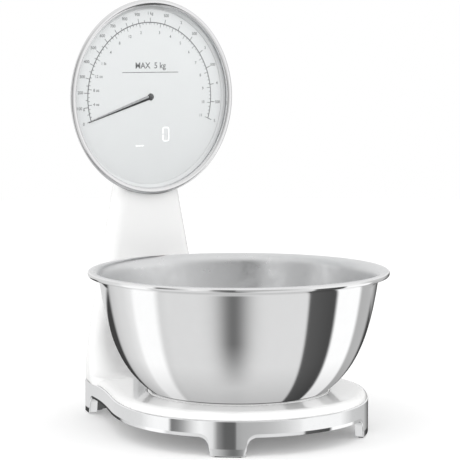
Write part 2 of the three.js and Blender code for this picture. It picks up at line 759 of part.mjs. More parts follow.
/** Push button in the back of the head: domed cap, flange inside and a stem to its switch. */
function pushButton([x, z]) {
  const inside = headBackY - headWall - fitGap;
  const tip = headBackY - 10.4 + buttonTravel + fitGap;
  const profile = [
    [0, tip],
    [1.8, tip],
    [1.8, inside - 1.2],
    [buttonRadius + 1.3, inside - 1.2],
    [buttonRadius + 1.3, inside],
    [buttonRadius, inside],
    [buttonRadius, headBackY + buttonProud - 1.1],
    [buttonRadius - 0.7, headBackY + buttonProud - 0.4],
    [0, headBackY + buttonProud],
  ];
  const geometry = new THREE.LatheGeometry(profile.map(([r, y]) => new THREE.Vector2(r, y)), 28);
  geometry.translate(x, 0, z);
  return solid(geometry);
}

// ---- Needle ----

const needleThick = 0.45;
const needleY = dialY - fitGap - needleThick;
const needleBoss = 2.2;

/** Unit vector along the needle at rest, in X and Z. */
const needleWay = [-Math.sin(radians(needleZero)), Math.cos(radians(needleZero))];

/** Steel shaft from the motor to the needle. */
function needleShaft() {
  const from = needleY + needleThick + 0.1;
  return barY(shaftRadius, [0, dialCentreZ], from, boardY + boardThick + 6, 10);
}

/** Tapered blade with a round boss. */
function needleHand() {
  const across = [-needleWay[1], needleWay[0]];
  const at = (length, width) => [
    needleWay[0] * length + across[0] * width,
    dialCentreZ + needleWay[1] * length + across[1] * width,
  ];
  const blade = [at(-1, -1.25), at(-1, 1.25), at(needleLength, 0.35), at(needleLength, -0.35)];
  const y1 = needleY + needleThick;
  const boss = barY(needleBoss, [0, dialCentreZ], needleY, y1, 20);
  return join(panel(blade, needleY, y1), boss);
}

/** Round cap over the needle's boss, tied to it by the collar behind. */
function needleHub() {
  const front = lensY + lensThick + 0.35;
  const back = needleY - 0.15;
  const profile = [[0, front], [2.2, front], [2.9, front + 0.25], [2.9, back], [0, back]];
  return turnedOnDial(profile, 24);
}

// ---- Bowl ----

/** Outer line of the bowl's wall from foot to lip, as [radius, z] points, moved in by inset. */
function bowlLine(inset, steps) {
  const rimZ = bowlBaseZ + bowlHeight;
  const wallTop = [bowlRimRadius - bowlLipWidth - bowlRimBead, rimZ - 9];
  const foot = [bowlFootRadius, bowlBaseZ];
  const curve = [
    foot,
    [foot[0] + 27.3, foot[1] + 19.3],
    [wallTop[0] - 6.7, wallTop[1] - 45.2],
    wallTop,
  ];
  return Array.from({ length: steps + 1 }, (_, i) => {
    const { x, y, tx, ty } = cubic(curve, i / steps);
    return [x - ty * inset, y + tx * inset];
  });
}

/** Steel bowl: flat foot, swelling wall and an outward rolled lip. */
function mixingBowl() {
  const rimZ = bowlBaseZ + bowlHeight;
  const bead = [bowlRimRadius - bowlRimBead, rimZ - bowlRimBead];
  const outer = bowlLine(0, 8);
  const inner = bowlLine(bowlWall, 8).filter(([, z]) => z > bowlBaseZ + bowlWall + 0.4);
  const lipOut = outer[outer.length - 1];
  const under = [[lipOut[0] + 1.6, lipOut[1] + 3.4], [bead[0] - bowlRimBead * 0.8, bead[1] - 0.9]];
  const roll = arc(bead, bowlRimBead, -120, 120, 6);
  const over = [[bead[0] - 3.6, rimZ - 0.9], [lipOut[0] + 1, lipOut[1] + 5.4]];
  const floor = [bowlFootRadius - 3.5, bowlBaseZ + bowlWall];
  const profile = [[0, bowlBaseZ], ...outer, ...under, ...roll, ...over, ...inner.reverse(), floor];
  return turnedOnBowl([...profile, [0, bowlBaseZ + bowlWall]], 40);
}

// ---- Weighing works ----

/** White disc that the bowl stands on, with a rounded edge. */
function weighingPlate() {
  const [z0, z1] = [plateTopZ - plateThick, plateTopZ];
  const profile = [[0, z0], [plateRadius - 0.4, z0], [plateRadius, z0 + 0.4], [plateRadius, z1 - 0.6]];
  return turnedOnBowl([...profile, [plateRadius - 0.6, z1], [0, z1]], 48);
}

/** Steel cross and ring under the plate. */
function plateCarrier() {
  const [z0, z1] = [carrierZ, plateTopZ - plateThick - fitGap];
  const reach = plateRadius - 8;
  const bars = [
    box([-reach, -8, z0], [reach, 8, z1]),
    box([-8, -reach, z0], [8, reach, z1]),
    barZ(26, [0, 0], z0, z1, 28),
  ];
  const bores = cellScrewPlaces(1).flatMap((p) => [
    barZ(screwShankRadius + fitGap, p, 0, 60, 12),
    barZ(screwHeadRadius + fitGap, p, z1 - screwHeadThick - fitGap, z1 + 1, 14),
  ]);
  return cut(join(...bars), ...bores);
}

/** Where the load cell is screwed: its fixed end is at side -1 and its moving end at side 1. */
function cellScrewPlaces(side) {
  return [cellLength / 2 - 6, cellLength / 2 - 16].map((x) => [side * x, 0]);
}

/** Aluminium bar with the double hole that lets it bend. */
function loadCell() {
  const half = cellWidth / 2;
  const bar = box([-cellLength / 2, -half, cellZ], [cellLength / 2, half, cellTopZ]);
  const middle = cellZ + cellHeight / 2;
  const holes = [-5, 5].map((x) => barY(cellHeight * 0.38, [x, middle], -half - 1, half + 1, 18));
  const slit = box([-5, -half - 1, middle - 1], [5, half + 1, middle + 1]);
  const threads = [
    ...cellScrewPlaces(-1).map((p) => barZ(screwShankRadius + fitGap, p, cellZ - 1, cellZ + 6, 12)),
    ...cellScrewPlaces(1).map((p) => barZ(screwShankRadius + fitGap, p, cellTopZ - 6, cellTopZ + 1, 12)),
  ];
  return cut(bar, ...holes, slit, ...threads);
}

/** Spacer at one end of the load cell, under its fixed end or over its moving end. */
function cellSpacer(side, z) {
  const [x0, x1] = [side * (cellLength / 2 - 21), (side * cellLength) / 2].sort((a, b) => a - b);
  const half = cellWidth / 2;
  const bores = cellScrewPlaces(side).map((p) => barZ(screwShankRadius + fitGap, p, 0, 60, 12));
  return cut(box([x0, -half, z], [x1, half, z + spacerThick]), ...bores);
}

/** Moulded floor of the base: battery opening, door rails, board posts and screw holes. */
function basePlate() {
  const outline = plan(skirtWall + seamGap);
  const slabBody = loft([atHeight(outline, basePlateZ), atHeight(outline, basePlateTopZ)]);
  const halfX = batteryRowWidth / 2 + fitGap;
  const halfY = trayLength / 2;
  const opening = box([-halfX, trayY - halfY, 0], [halfX, trayY + halfY, 60]);
  const railTop = basePlateZ + 0.2;
  const rails = [-1, 1].flatMap((side) => {
    const [x0, x1] = [doorHalfWidth + fitGap, doorHalfWidth + 2.4].map((x) => x * side).sort((a, b) => a - b);
    const [l0, l1] = [doorHalfWidth - 1.6, doorHalfWidth + 2.4].map((x) => x * side).sort((a, b) => a - b);
    const lipTop = doorTopZ - doorThick - fitGap;
    const [y0, y1] = [trayY - doorHalfLength, trayY + doorHalfLength];
    return [
      box([x0, y0, lipTop - 1.2], [x1, y1, railTop]),
      box([l0, y0, lipTop - 1.2], [l1, y1, lipTop]),
    ];
  });
  const posts = boardPosts.map((p) => barZ(2.4, p, basePlateTopZ - 0.2, boardZ - fitGap, 12));
  const holes = [...bossPlaces, ...spineScrewPlaces, ...cellScrewPlaces(-1)].flatMap((p) => [
    barZ(screwShankRadius + fitGap, p, 0, 60, 12),
    barZ(screwHeadRadius + fitGap, p, 0, basePlateZ + screwHeadThick, 14),
  ]);
  return cut(join(slabBody, ...rails, ...posts), opening, ...holes);
}

/** Sliding battery door with a gripping ridge. */
function batteryDoor() {
  const z1 = doorTopZ;
  const z0 = z1 - doorThick;
  const [y0, y1] = [trayY - doorHalfLength + 0.5, trayY + doorHalfLength];
  const plate = box([-doorHalfWidth, y0, z0], [doorHalfWidth, y1, z1]);
  const ridges = [0, 1, 2].map((i) => box([-9, y1 - 8 + i * 2.4, z0 - 0.8], [9, y1 - 7 + i * 2.4, z0 + 0.2]));
  return join(plate, ...ridges);
}

/** Open-bottomed box over the batteries. */
function batteryTray() {
  const halfX = batteryRowWidth / 2 + fitGap;
  const halfY = trayLength / 2;
  const z0 = basePlateTopZ + fitGap;
  const outer = box(
    [-halfX - trayWall, trayY - halfY - trayWall, z0],
    [halfX + trayWall, trayY + halfY + trayWall, trayTopZ],
  );
  return cut(outer, box([-halfX, trayY - halfY, 0], [halfX, trayY + halfY, trayTopZ - trayWall]));
}

/** One battery cell with its raised positive end. */
function batteryCell(index) {
  const x = (index - (batteryCount - 1) / 2) * batteryPitch;
  const way = index % 2 ? -1 : 1;
  const end = batteryLength / 2;
  const profile = [[0, -end], [4.6, -end], [batteryRadius, 0.6 - end], [batteryRadius, end - 1.6]];
  const cap = [[4.6, end - 1.1], [1.9, end - 1.1], [1.9, end], [0, end]];
  const points = [...profile, ...cap].map(([r, y]) => new THREE.Vector2(r, y));
  const geometry = new THREE.LatheGeometry(points, 14);
  if (way < 0) geometry.rotateZ(Math.PI);
  geometry.translate(x, trayY, batteryZ);
  return solid(geometry);
}

/** Sheet contact at one end of the batteries, with a coil seat for each cell. */
function batteryContact(side) {
  const inner = trayY + side * (batteryLength / 2 + fitGap + 0.9);
  const outer = trayY + side * (trayLength / 2 - fitGap);
  const [y0, y1] = [inner, outer].sort((a, b) => a - b);
  const half = batteryRowWidth / 2 - 1;
  const plate = box([-half, y0, batteryZ - 4], [half, y1, batteryZ + 4]);
  const seats = Array.from({ length: batteryCount }, (_, i) => {
    const x = (i - (batteryCount - 1) / 2) * batteryPitch;
    const tip = trayY + side * (batteryLength / 2 + fitGap);
    const [s0, s1] = [tip, inner + side * 0.2].sort((a, b) => a - b);
    return barY(2.4, [x, batteryZ], s0, s1, 12);
  });
  return join(plate, ...seats);
}

const boardZ = basePlateTopZ + 2.6;
const mainBoard0 = [-30, -62];
const mainBoard1 = [30, -22];
const boardPosts = [-1, 1].flatMap((sx) => [-1, 1].map((sy) => [
  (mainBoard0[0] + mainBoard1[0]) / 2 + sx * 26,
  (mainBoard0[1] + mainBoard1[1]) / 2 + sy * 16,
]));

/** Circuit board in the base, with its processor, amplifier and plugs. */
function mainBoard() {
  const top = boardZ + boardThick;
  const chips = [
    [[-12, -50], [2, -38], 1.4],
    [[8, -36], [18, -30], 1.6],
    [[-24, -58], [-14, -52], 5],
    [[16, -60], [28, -54], 5],
  ];
  const parts = chips.map(([[x0, y0], [x1, y1], h]) => box([x0, y0, top - 0.1], [x1, y1, top + h]));
  return join(box([...mainBoard0, boardZ], [...mainBoard1, top]), ...parts);
}

/** Wires from the base's board, round the batteries, up the column to the head's board. */
function wireHarness() {
  const low = basePlateTopZ + 3;
  const upY = spineWebY - 4;
  const side = spineHalf + 5;
  return tube([
    [mainBoard1[0] + 0.8, -57, boardZ + 3.4],
    [mainBoard1[0] + 8, -50, low + 1],
    [mainBoard1[0] + 15, -20, low],
    [mainBoard1[0] + 16, 20, low],
    [mainBoard1[0] + 12, trayY + 40, low],
    [mainBoard1[0] - 2, upY - 26, low],
    [side + 3, upY - 5, low + 4],
    [side, upY, low + 18],
    [side, upY, 80],
    [side, upY, 140],
    [side, upY, columnTopZ - 20],
    [side - 1, upY + 0.5, dialCentreZ - boardRadius - 8],
    [16, boardY + 6, dialCentreZ - 46],
    [14.4, boardY + 5, dialCentreZ - 38],
  ], 1.7, 44);
}

/** Thin lead from the load cell to the base's board. */
function loadCellCable() {
  const z = cellZ + cellHeight / 2;
  return tube([
    [-cellLength / 2 + 8, -cellWidth / 2 - 1.3, z],
    [-cellLength / 2 + 4, -cellWidth / 2 - 5, z],
    [-34, -16, z - 1],
    [-34, -30, z - 1],
    [-34, -44, z],
    [-33, -54, z + 0.4],
    [-31.4, -55, z + 0.4],
  ], 0.9, 20);
}

// ---- Assembly ----

const model = new THREE.Group();
model.position.y = -originY;

/** Adds one named piece to the model. */
function add(name, body, finishName) {
  const mesh = new THREE.Mesh(geometryOf(body), new THREE.MeshStandardMaterial(finishes[finishName]));
  mesh.name = name;
  model.add(mesh);
}

add('base_skirt', baseSkirt(), 'chrome');
for (const place of padPlaces) {
  add(`foot_pad_${place.name}`, padBlock(place, 0, 0, padThick), 'rubber');
}
add('base_plate', basePlate(), 'plastic');
bossPlaces.forEach((p, i) => add(`base_screw_${i + 1}`, screw(p, basePlateZ - 0.3, 9), 'steel'));
add('battery_tray', batteryTray(), 'plastic');
for (let i = 0; i < batteryCount; i++) add(`battery_cell_${i + 1}`, batteryCell(i), 'battery');
add('battery_contact_front', batteryContact(-1), 'brass');
add('battery_contact_rear', batteryContact(1), 'brass');
add('battery_door', batteryDoor(), 'plastic');
add('main_board', mainBoard(), 'board');
add('load_cell', loadCell(), 'aluminium');
add('cell_base_spacer', cellSpacer(-1, basePlateTopZ + fitGap), 'aluminium');
add('cell_top_spacer', cellSpacer(1, cellTopZ + fitGap), 'aluminium');
cellScrewPlaces(-1).forEach((p, i) => {
  add(`cell_fixed_screw_${i + 1}`, screw(p, basePlateZ - 0.3, 8.5), 'steel');
});
cellScrewPlaces(1).forEach((p, i) => {
  add(`cell_moving_screw_${i + 1}`, screw(p, plateTopZ - plateThick - fitGap, 8.5, -1), 'steel');
});
add('plate_carrier', plateCarrier(), 'steel');
add('weighing_plate', weighingPlate(), 'white');
add('mixing_bowl', mixingBowl(), 'steel');
add('body_shell', bodyShell(), 'white');
add('column_rear_cover', columnRearCover(), 'white');
coverScrewPlaces.forEach((p, i) => {
  add(`cover_screw_${i + 1}`, screwY(p, columnBackY - 0.1, 8, -1), 'steel');
});
add('spine_bracket', spineBracket(), 'steel');
spineScrewPlaces.forEach((p, i) => add(`spine_screw_${i + 1}`, screw(p, basePlateZ - 0.3, 6), 'steel'));
add('head_housing', headHousing(), 'white');
headScrewPlaces.forEach((p, i) => {
  add(`head_screw_${i + 1}`, screwY(p, spineWebY - screwHeadThick - fitGap, 6), 'steel');
});
add('head_board', headBoard(), 'board');
add('led_display', ledDisplay(), 'dark');
add('needle_motor', needleMotor(), 'dark');
add('tare_switch', pushSwitch(buttonPlaces.tare_button), 'dark');
add('unit_switch', pushSwitch(buttonPlaces.unit_button), 'dark');
add('tare_button', pushButton(buttonPlaces.tare_button), 'chrome');
add('unit_button', pushButton(buttonPlaces.unit_button), 'chrome');
add('dial_plate', dialPlate(), 'dial');
add('dial_spacer_ring', dialSpacerRing(), 'white');
add('dial_lens', dialLens(), 'glass');
add('bezel_ring', bezelRing(), 'chrome');
add('needle_shaft', needleShaft(), 'steel');
add('needle_hand', needleHand(), 'steel');
add('needle_hub', needleHub(), 'chrome');
add('wire_harness', wireHarness(), 'wire');
add('load_cell_cable', loadCellCable(), 'wire');

export default model;
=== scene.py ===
"""Retro kitchen scale as an add-on: each operator builds one piece or group in the shared frame."""

import json
import math

import bpy
import numpy as np
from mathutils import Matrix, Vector

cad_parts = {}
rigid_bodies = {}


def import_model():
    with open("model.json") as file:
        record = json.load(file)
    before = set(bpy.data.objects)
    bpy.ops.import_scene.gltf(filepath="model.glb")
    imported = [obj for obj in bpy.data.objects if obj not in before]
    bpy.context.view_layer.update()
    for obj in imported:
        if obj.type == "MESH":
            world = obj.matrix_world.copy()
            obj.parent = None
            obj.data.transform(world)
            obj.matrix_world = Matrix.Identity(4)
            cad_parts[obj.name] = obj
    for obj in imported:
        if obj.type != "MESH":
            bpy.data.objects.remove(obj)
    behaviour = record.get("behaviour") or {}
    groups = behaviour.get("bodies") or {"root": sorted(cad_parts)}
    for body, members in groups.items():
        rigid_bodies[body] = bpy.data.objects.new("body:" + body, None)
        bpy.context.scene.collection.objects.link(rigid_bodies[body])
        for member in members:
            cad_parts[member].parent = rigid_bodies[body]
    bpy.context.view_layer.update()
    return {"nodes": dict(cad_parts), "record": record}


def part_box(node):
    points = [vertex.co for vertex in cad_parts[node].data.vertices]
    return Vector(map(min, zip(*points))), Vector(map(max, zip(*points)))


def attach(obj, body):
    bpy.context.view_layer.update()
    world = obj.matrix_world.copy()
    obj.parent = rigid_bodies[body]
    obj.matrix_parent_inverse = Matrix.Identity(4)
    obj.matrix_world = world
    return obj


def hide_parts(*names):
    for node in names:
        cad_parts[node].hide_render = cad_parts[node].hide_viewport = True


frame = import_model()

bl_info = {
    "name": "Kitchen Scale",
    "version": (1, 0, 0),
    "blender": (4, 5, 0),
    "location": "View3D > Sidebar > Kitchen Scale",
    "description": "Builds a retro kitchen scale with a dial, a column and a steel bowl",
    "category": "Object",
}

# ---- Sizes: millimetres, from the bowl's axis; the record's frame is metres ----

AXIS_Y = sum(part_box("mixing_bowl")[i].y for i in (0, 1)) / 2
DIAL_Z = sum(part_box("bezel_ring")[i].z for i in (0, 1)) * 500


def face_y(node, side):
    """Front (0) or back (1) of a CAD node along Y, in millimetres from the bowl's axis."""
    return (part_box(node)[side].y - AXIS_Y) * 1000


RIM_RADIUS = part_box("mixing_bowl")[1].x * 1000
RIM_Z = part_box("mixing_bowl")[1].z * 1000
BOWL_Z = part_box("mixing_bowl")[0].z * 1000
FOOT_RADIUS = 77.0
LIP_WIDTH = 7.4
BOWL_WALL = 1.2
RIM_BEAD = 2.6

DISC_RADIUS = 113.0
DISC_END = -33.3
NECK = (DISC_RADIUS - 19.5, 62.0)
NECK_LEAN = 24.3
REAR_LEAN = 20.0
REAR_HALF = 60.7
REAR_CORNER = 6.0
FLANK_HANDLES = (47, 44)
WAIST_HANDLES = (60, 42)
SKIRT_BACK = face_y("base_skirt", 1)
SKIRT_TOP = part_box("base_skirt")[1].z * 1000
LEG_CLEAR = 16.3
LEG_FILLET = 9.0
LEG_CORNER = 2.4
LEG_DEPTH = 7.0
LEG_TAPER = 0.22
PAD_PROUD = 0.8
SKIRT_WALL = 2.4
LEG_HALF = 14.8
LEG_AZIMUTH = 41.4
SHELL_TOP = 37.0
SHELL_INSET = 0.4
EDGE_ROUND = 7.5
COLUMN_FRONT = 134.4
COLUMN_BACK = 155.2
COLUMN_FOOT = 63.2
COLUMN_HEAD = 27.0
COLUMN_TOP = 235.2
FRONT_CORNER = 9.0
BACK_CORNER = 8.0
FOOT_LEAN = 22.0
FILLET = 40.0
COVER_FOOT = 40.0
COVER_MARGIN = 8.8
WELL_RADIUS = 79.85

BEZEL_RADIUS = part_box("bezel_ring")[1].x * 1000
BEZEL_FRONT = face_y("bezel_ring", 0)
BEZEL_BACK = face_y("bezel_ring", 1)
BEZEL_INNER = BEZEL_RADIUS - 5.8
BEZEL_CREST = 2.0
BEZEL_TAPER = 0.75
SLEEVE = BEZEL_INNER + 1.3
DIAL_RADIUS = BEZEL_INNER + 0.2
LENS_Y = face_y("dial_lens", 0)
DIAL_Y = face_y("dial_plate", 0)
HEAD_BACK = face_y("head_housing", 1)
HEAD_WALL = 2.2
HEAD_FLAT = 50.0
SLOT_HALF = 24.0
BUTTON_HOLE = 5.95
NEEDLE_Y = face_y("needle_hand", 0)
DIAL_CENTRE = (0, 0, DIAL_Z)
NEEDLE_LENGTH = 71.0
SWEEP = 108
ARC_RADIUS = 68.05
POUND = 0.45359237


# ---- Lines ----


def arc(centre, radius, start, end, steps):
    """Points on a circle from start to end degrees."""
    angle = np.radians(np.linspace(start, end, steps + 1))
    return np.stack([centre[0] + radius * np.cos(angle), centre[1] + radius * np.sin(angle)], 1)


def bezier(curve, t):
    """Points and unit tangents of a cubic: the weighted sum of its four points."""
    p = np.asarray(curve, float)
    t = np.atleast_1d(np.asarray(t, float))[:, None]
    s = 1 - t
    points = s**3 * p[0] + 3 * s * s * t * p[1] + 3 * s * t * t * p[2] + t**3 * p[3]
    way = s * s * (p[1] - p[0]) + 2 * s * t * (p[2] - p[1]) + t * t * (p[3] - p[2])
    return points, way / np.linalg.norm(way, axis=1, keepdims=True)


def flank_curves():
    """The right flank as two cubics: disc to waist, waist to rear corner."""
    end, lean, rear = (math.radians(v) for v in (DISC_END, NECK_LEAN, REAR_LEAN))
    leave = np.array([DISC_RADIUS * math.cos(end), DISC_RADIUS * math.sin(end)])
    leave_way = np.array([-math.sin(end), math.cos(end)])
    waist, corner = np.array(NECK), np.array([REAR_HALF, SKIRT_BACK])
    waist_way = np.array([-math.sin(lean), math.cos(lean)])
    corner_way = np.array([-math.sin(rear), math.cos(rear)])
    out, back = FLANK_HANDLES
    first = [leave, leave + out * leave_way, waist - back * waist_way, waist]
    out, back = WAIST_HANDLES
    return first, [waist, waist + out * waist_way, corner - back * corner_way, corner]


def plan(inset, fine):
    """The base's outline moved in by inset: disc arc, flank, waist and rounded rear corners."""
    flank, waist = flank_curves()

    def moved(curve, t):
        """Points of a cubic at t, moved in."""
        points, way = bezier(curve, t)
        return points + inset * np.stack([-way[:, 1], way[:, 0]], 1)

    lean = math.radians(REAR_LEAN)
    back = SKIRT_BACK - inset
    corner = moved(waist, 1)[0]
    sharp = corner[0] - (back - corner[1]) * math.tan(lean)
    radius = max(REAR_CORNER - inset, 0.8)
    reach = radius * math.tan((math.pi / 2 - lean) / 2)
    turn = back - reach * math.cos(lean)
    tries = np.linspace(0, 1, 400)
    stop = tries[moved(waist, tries)[:, 1] <= turn - 0.3][-1]
    right = np.concatenate([
        arc((0, 0), DISC_RADIUS - inset, -90, DISC_END, 8 * fine),
        moved(flank, np.linspace(0, 1, 5 * fine + 1)[1:]),
        moved(waist, np.linspace(0, stop, 5 * fine + 1)[1:]),
        arc((sharp - reach, back - radius), radius, REAR_LEAN, 90, 2 * fine),
        np.stack([np.linspace(sharp - reach, 0, 2 * fine + 1)[1:], np.full(2 * fine, back)], 1),
    ])
    left = right[1:-1][::-1] * (-1, 1)
    return np.concatenate([right, left])


def leg_table():
    """Height of the skirt's lower edge against distance outside a leg's straight part."""
    z = np.linspace(PAD_PROUD, LEG_CLEAR, 400)
    toe, fillet = PAD_PROUD + LEG_CORNER, LEG_CLEAR - LEG_FILLET
    low = np.sqrt(np.maximum(LEG_CORNER**2 - (toe - z) ** 2, 0)) - LEG_CORNER
    taper = LEG_TAPER * (np.minimum(z, fillet) - toe)
    rise = np.maximum(z - fillet, 0)
    high = taper + LEG_FILLET - np.sqrt(np.maximum(LEG_FILLET**2 - rise**2, 0))
    return np.where(z < toe, low, high), z


def column_half(z):
    """Half-width of the column at height z, from a cubic that leaves the base upright."""
    reach = COLUMN_TOP - SHELL_TOP
    curve = [
        (COLUMN_FOOT, SHELL_TOP),
        (COLUMN_FOOT, SHELL_TOP + 0.18 * reach),
        (COLUMN_HEAD + 0.064 * reach, COLUMN_TOP - 0.34 * reach),
        (COLUMN_HEAD, COLUMN_TOP),
    ]
    points, _ = bezier(curve, np.linspace(0, 1, 300))
    return np.interp(z, points[:, 1], points[:, 0])


def column_section(z):
    """Section of the column at height z: four rounded corners, sides leaning out at the foot."""
    up = min(max(z - SHELL_TOP, 0), FILLET)
    sweep = FILLET - math.sqrt(FILLET**2 - (FILLET - up) ** 2)
    rise = min(max((z - SHELL_TOP) / (2 * FILLET), 0), 1)
    lean = FOOT_LEAN * (1 - rise) ** 2
    nx, ny = math.cos(math.radians(lean)), math.sin(math.radians(lean))
    half = float(column_half(z))
    back = (half - BACK_CORNER, COLUMN_BACK - BACK_CORNER)
    radius, front_y = FRONT_CORNER + 0.45 * sweep, COLUMN_FRONT - sweep
    start = (back[0] + BACK_CORNER * nx, back[1] + BACK_CORNER * ny)
    along = (start[1] - radius * ny - (front_y + radius)) / nx
    front = (start[0] + along * ny - radius * nx, front_y + radius)
    right = np.concatenate([
        arc(front, radius, -90, lean, 20), arc(back, BACK_CORNER, lean, 90, 12)])
    ring = np.concatenate([right, right[::-1] * (-1, 1)])
    return np.column_stack([ring, np.full(len(ring), z)])


def dome_line(gap, steps):
    """The head's back from the bezel to its flat middle, as radius and Y, moved out by gap."""
    start = BEZEL_BACK + 0.3
    rim = BEZEL_RADIUS - BEZEL_TAPER * (start - BEZEL_FRONT - BEZEL_CREST)
    handle = 8.4
    curve = [
        (rim, start),
        (rim - handle * BEZEL_TAPER, start + handle),
        (HEAD_FLAT + 16, HEAD_BACK),
        (HEAD_FLAT, HEAD_BACK),
    ]
    points, way = bezier(curve, np.linspace(0, 1, steps))
    return points + gap * np.stack([way[:, 1], -way[:, 0]], 1)


# ---- Meshes ----


def place(points):
    """Millimetres from the bowl's axis to metres in the record's frame."""
    out = np.asarray(points, float) * 0.001
    out[:, 1] += AXIS_Y
    return out


def mesh_object(name, points, faces, angle=35):
    """A closed or open mesh from arrays of points (mm) and faces, smooth below angle degrees."""
    mesh = bpy.data.meshes.new(name)
    mesh.from_pydata(place(points).tolist(), [], [list(map(int, f)) for f in faces])
    mesh.validate()
    mesh.update()
    return link_mesh(name, mesh, angle)


def link_mesh(name, mesh, angle):
    """Links a mesh as an object at the origin and shades it smooth, sharp above angle."""
    mesh.name = name
    mesh.polygons.foreach_set("use_smooth", np.ones(len(mesh.polygons), bool))
    mesh.set_sharp_from_angle(angle=math.radians(angle))
    obj = bpy.data.objects.new(name, mesh)
    bpy.context.scene.collection.objects.link(obj)
    return obj


def outward(points, faces):
    """Faces of a closed mesh, all turned round if its volume comes out negative."""
    total = 0.0
    for f in faces:
        a = points[f[0]]
        for i in range(1, len(f) - 1):
            total += float(np.dot(a, np.cross(points[f[i]], points[f[i + 1]])))
    return faces if total > 0 else [f[::-1] for f in faces]


def loft(rings, closed=False):
    """Quads between rings of equal length; ends are capped unless the rings close on themselves."""
    count, size = len(rings), len(rings[0])
    points = np.concatenate(rings)
    faces = []
    for i in range(count if closed else count - 1):
        a, b = i * size, ((i + 1) % count) * size
        for j in range(size):
            k = (j + 1) % size
            faces.append([a + j, a + k, b + k, b + j])
    if not closed:
        faces.append(list(range(size))[::-1])
        faces.append([(count - 1) * size + j for j in range(size)])
    return points, outward(points, faces)


def revolve(profile, sides, axis="z", centre=(0, 0, 0), closed=False):
    """Turns a profile of (radius, height) about Z, or about Y when axis is "y"."""
    angle = np.linspace(0, 2 * np.pi, sides, endpoint=False)
    points, rings = [], []
    for r, h in profile:
        first = len(points)
        ways = [(0.0, 0.0)] if r < 1e-6 else [(r * math.cos(a), r * math.sin(a)) for a in angle]
        for u, v in ways:
            points.append((u, v, h) if axis == "z" else (u, h, v))
        rings.append((first, len(ways)))
    faces = []
    pairs = list(zip(rings, rings[1:] + rings[:1])) if closed else list(zip(rings, rings[1:]))
    for (a, na), (b, nb) in pairs:
        for j in range(sides):
            k = (j + 1) % sides
            if na == 1 and nb > 1:
                faces.append([a, b + k, b + j])
            elif nb == 1 and na > 1:
                faces.append([a + j, a + k, b])
            elif na > 1 and nb > 1:
                faces.append([a + j, a + k, b + k, b + j])
    points = np.array(points) + np.asarray(centre, float)
    return points, outward(points, faces)


def together(*parts):
    """Several (points, faces) pairs as one."""
    points, faces, base = [], [], 0
    for p, f in parts:
        points.append(np.asarray(p, float))
        faces += [[i + base for i in face] for face in f]
        base += len(p)
    return np.concatenate(points), faces


def brick(low, high):
    """A box between two corners."""
    (x0, y0, z0), (x1, y1, z1) = low, high
    bottom = np.array([(x0, y0, z0), (x1, y0, z0), (x1, y1, z0), (x0, y1, z0)], float)
    top = bottom + (0, 0, z1 - z0)
    return loft([bottom, top])


def resolved(obj):
    """Replaces an object's mesh with what its modifiers make of it."""
    graph = bpy.context.evaluated_depsgraph_get()
    made = bpy.data.meshes.new_from_object(obj.evaluated_get(graph))
    obj.modifiers.clear()
    old = obj.data
    obj.data = made
    bpy.data.meshes.remove(old)
    return obj


def carved(obj, *cutters):
    """Cuts closed (points, faces) shapes out of an object."""
    for shape in cutters:
        tool = mesh_object("cutter", *shape)
        step = obj.modifiers.new("cut", "BOOLEAN")
        step.operation = "DIFFERENCE"
        step.solver = "EXACT"
        step.object = tool
        resolved(obj)
        bpy.data.objects.remove(tool)
    return obj


def bevelled(obj, width, segments=3):
    """Rounds an object's sharp edges by width millimetres."""
    step = obj.modifiers.new("edge", "BEVEL")
    step.width = width * 0.001
    step.segments = segments
    step.limit_method = "ANGLE"
    step.angle_limit = math.radians(40)
    resolved(obj)
    obj.data.polygons.foreach_set("use_smooth", np.ones(len(obj.data.polygons), bool))
    obj.data.set_sharp_from_angle(angle=math.radians(50))
    return obj


# ---- Materials ----


def link(tree, value, socket):
    """Joins an output to an input, or sets the input's value."""
    if isinstance(value, bpy.types.NodeSocket):
        tree.links.new(value, socket)
    elif socket.type == "RGBA" and len(value) == 3:
        socket.default_value = (*value, 1.0)
    else:
        socket.default_value = value


def node(tree, kind, inputs=None, **settings):
    """A new node with its settings and inputs filled in."""
    made = tree.nodes.new(kind)
    for key, value in settings.items():
        setattr(made, key, value)
    for key, value in (inputs or {}).items():
        link(tree, value, made.inputs[key])
    return made


def maths(tree, operation, a, b=0.0):
    """One Math node's output."""
    return node(tree, "ShaderNodeMath", {0: a, 1: b}, operation=operation).outputs[0]


def mapped(tree, value, low, high, to_low=0.0, to_high=1.0):
    """A value spread from the range low to high to another range, and held at its ends."""
    made = node(tree, "ShaderNodeMapRange", {
        "Value": value, "From Min": low, "From Max": high, "To Min": to_low, "To Max": to_high})
    return made.outputs["Result"]


def toward(tree, ray, way):
    """How far a direction points along way: their dot product."""
    made = node(tree, "ShaderNodeVectorMath", {0: ray, 1: way}, operation="DOT_PRODUCT")
    return made.outputs["Value"]


def blended(tree, share, first, second):
    """A colour between two others."""
    made = node(tree, "ShaderNodeMix", {0: share, "A": first, "B": second}, data_type="RGBA")
    return made.outputs["Result"]


def bare_material(name):
    """An empty material, its tree and the Object coordinates for it."""
    made = bpy.data.materials.new(name)
    made.use_nodes = True
    tree = made.node_tree
    tree.nodes.remove(tree.nodes["Principled BSDF"])
    return made, tree, node(tree, "ShaderNodeTexCoord").outputs["Object"]


def new_group(name, inputs, outputs):
    """A shader node group with the given sockets."""
    tree = bpy.data.node_groups.new(name, "ShaderNodeTree")
    for label, kind, default in inputs:
        socket = tree.interface.new_socket(label, in_out="INPUT", socket_type=kind)
        if default is not None:
            socket.default_value = default
    for label, kind in outputs:
        tree.interface.new_socket(label, in_out="OUTPUT", socket_type=kind)
    return tree, tree.nodes.new("NodeGroupInput"), tree.nodes.new("NodeGroupOutput")


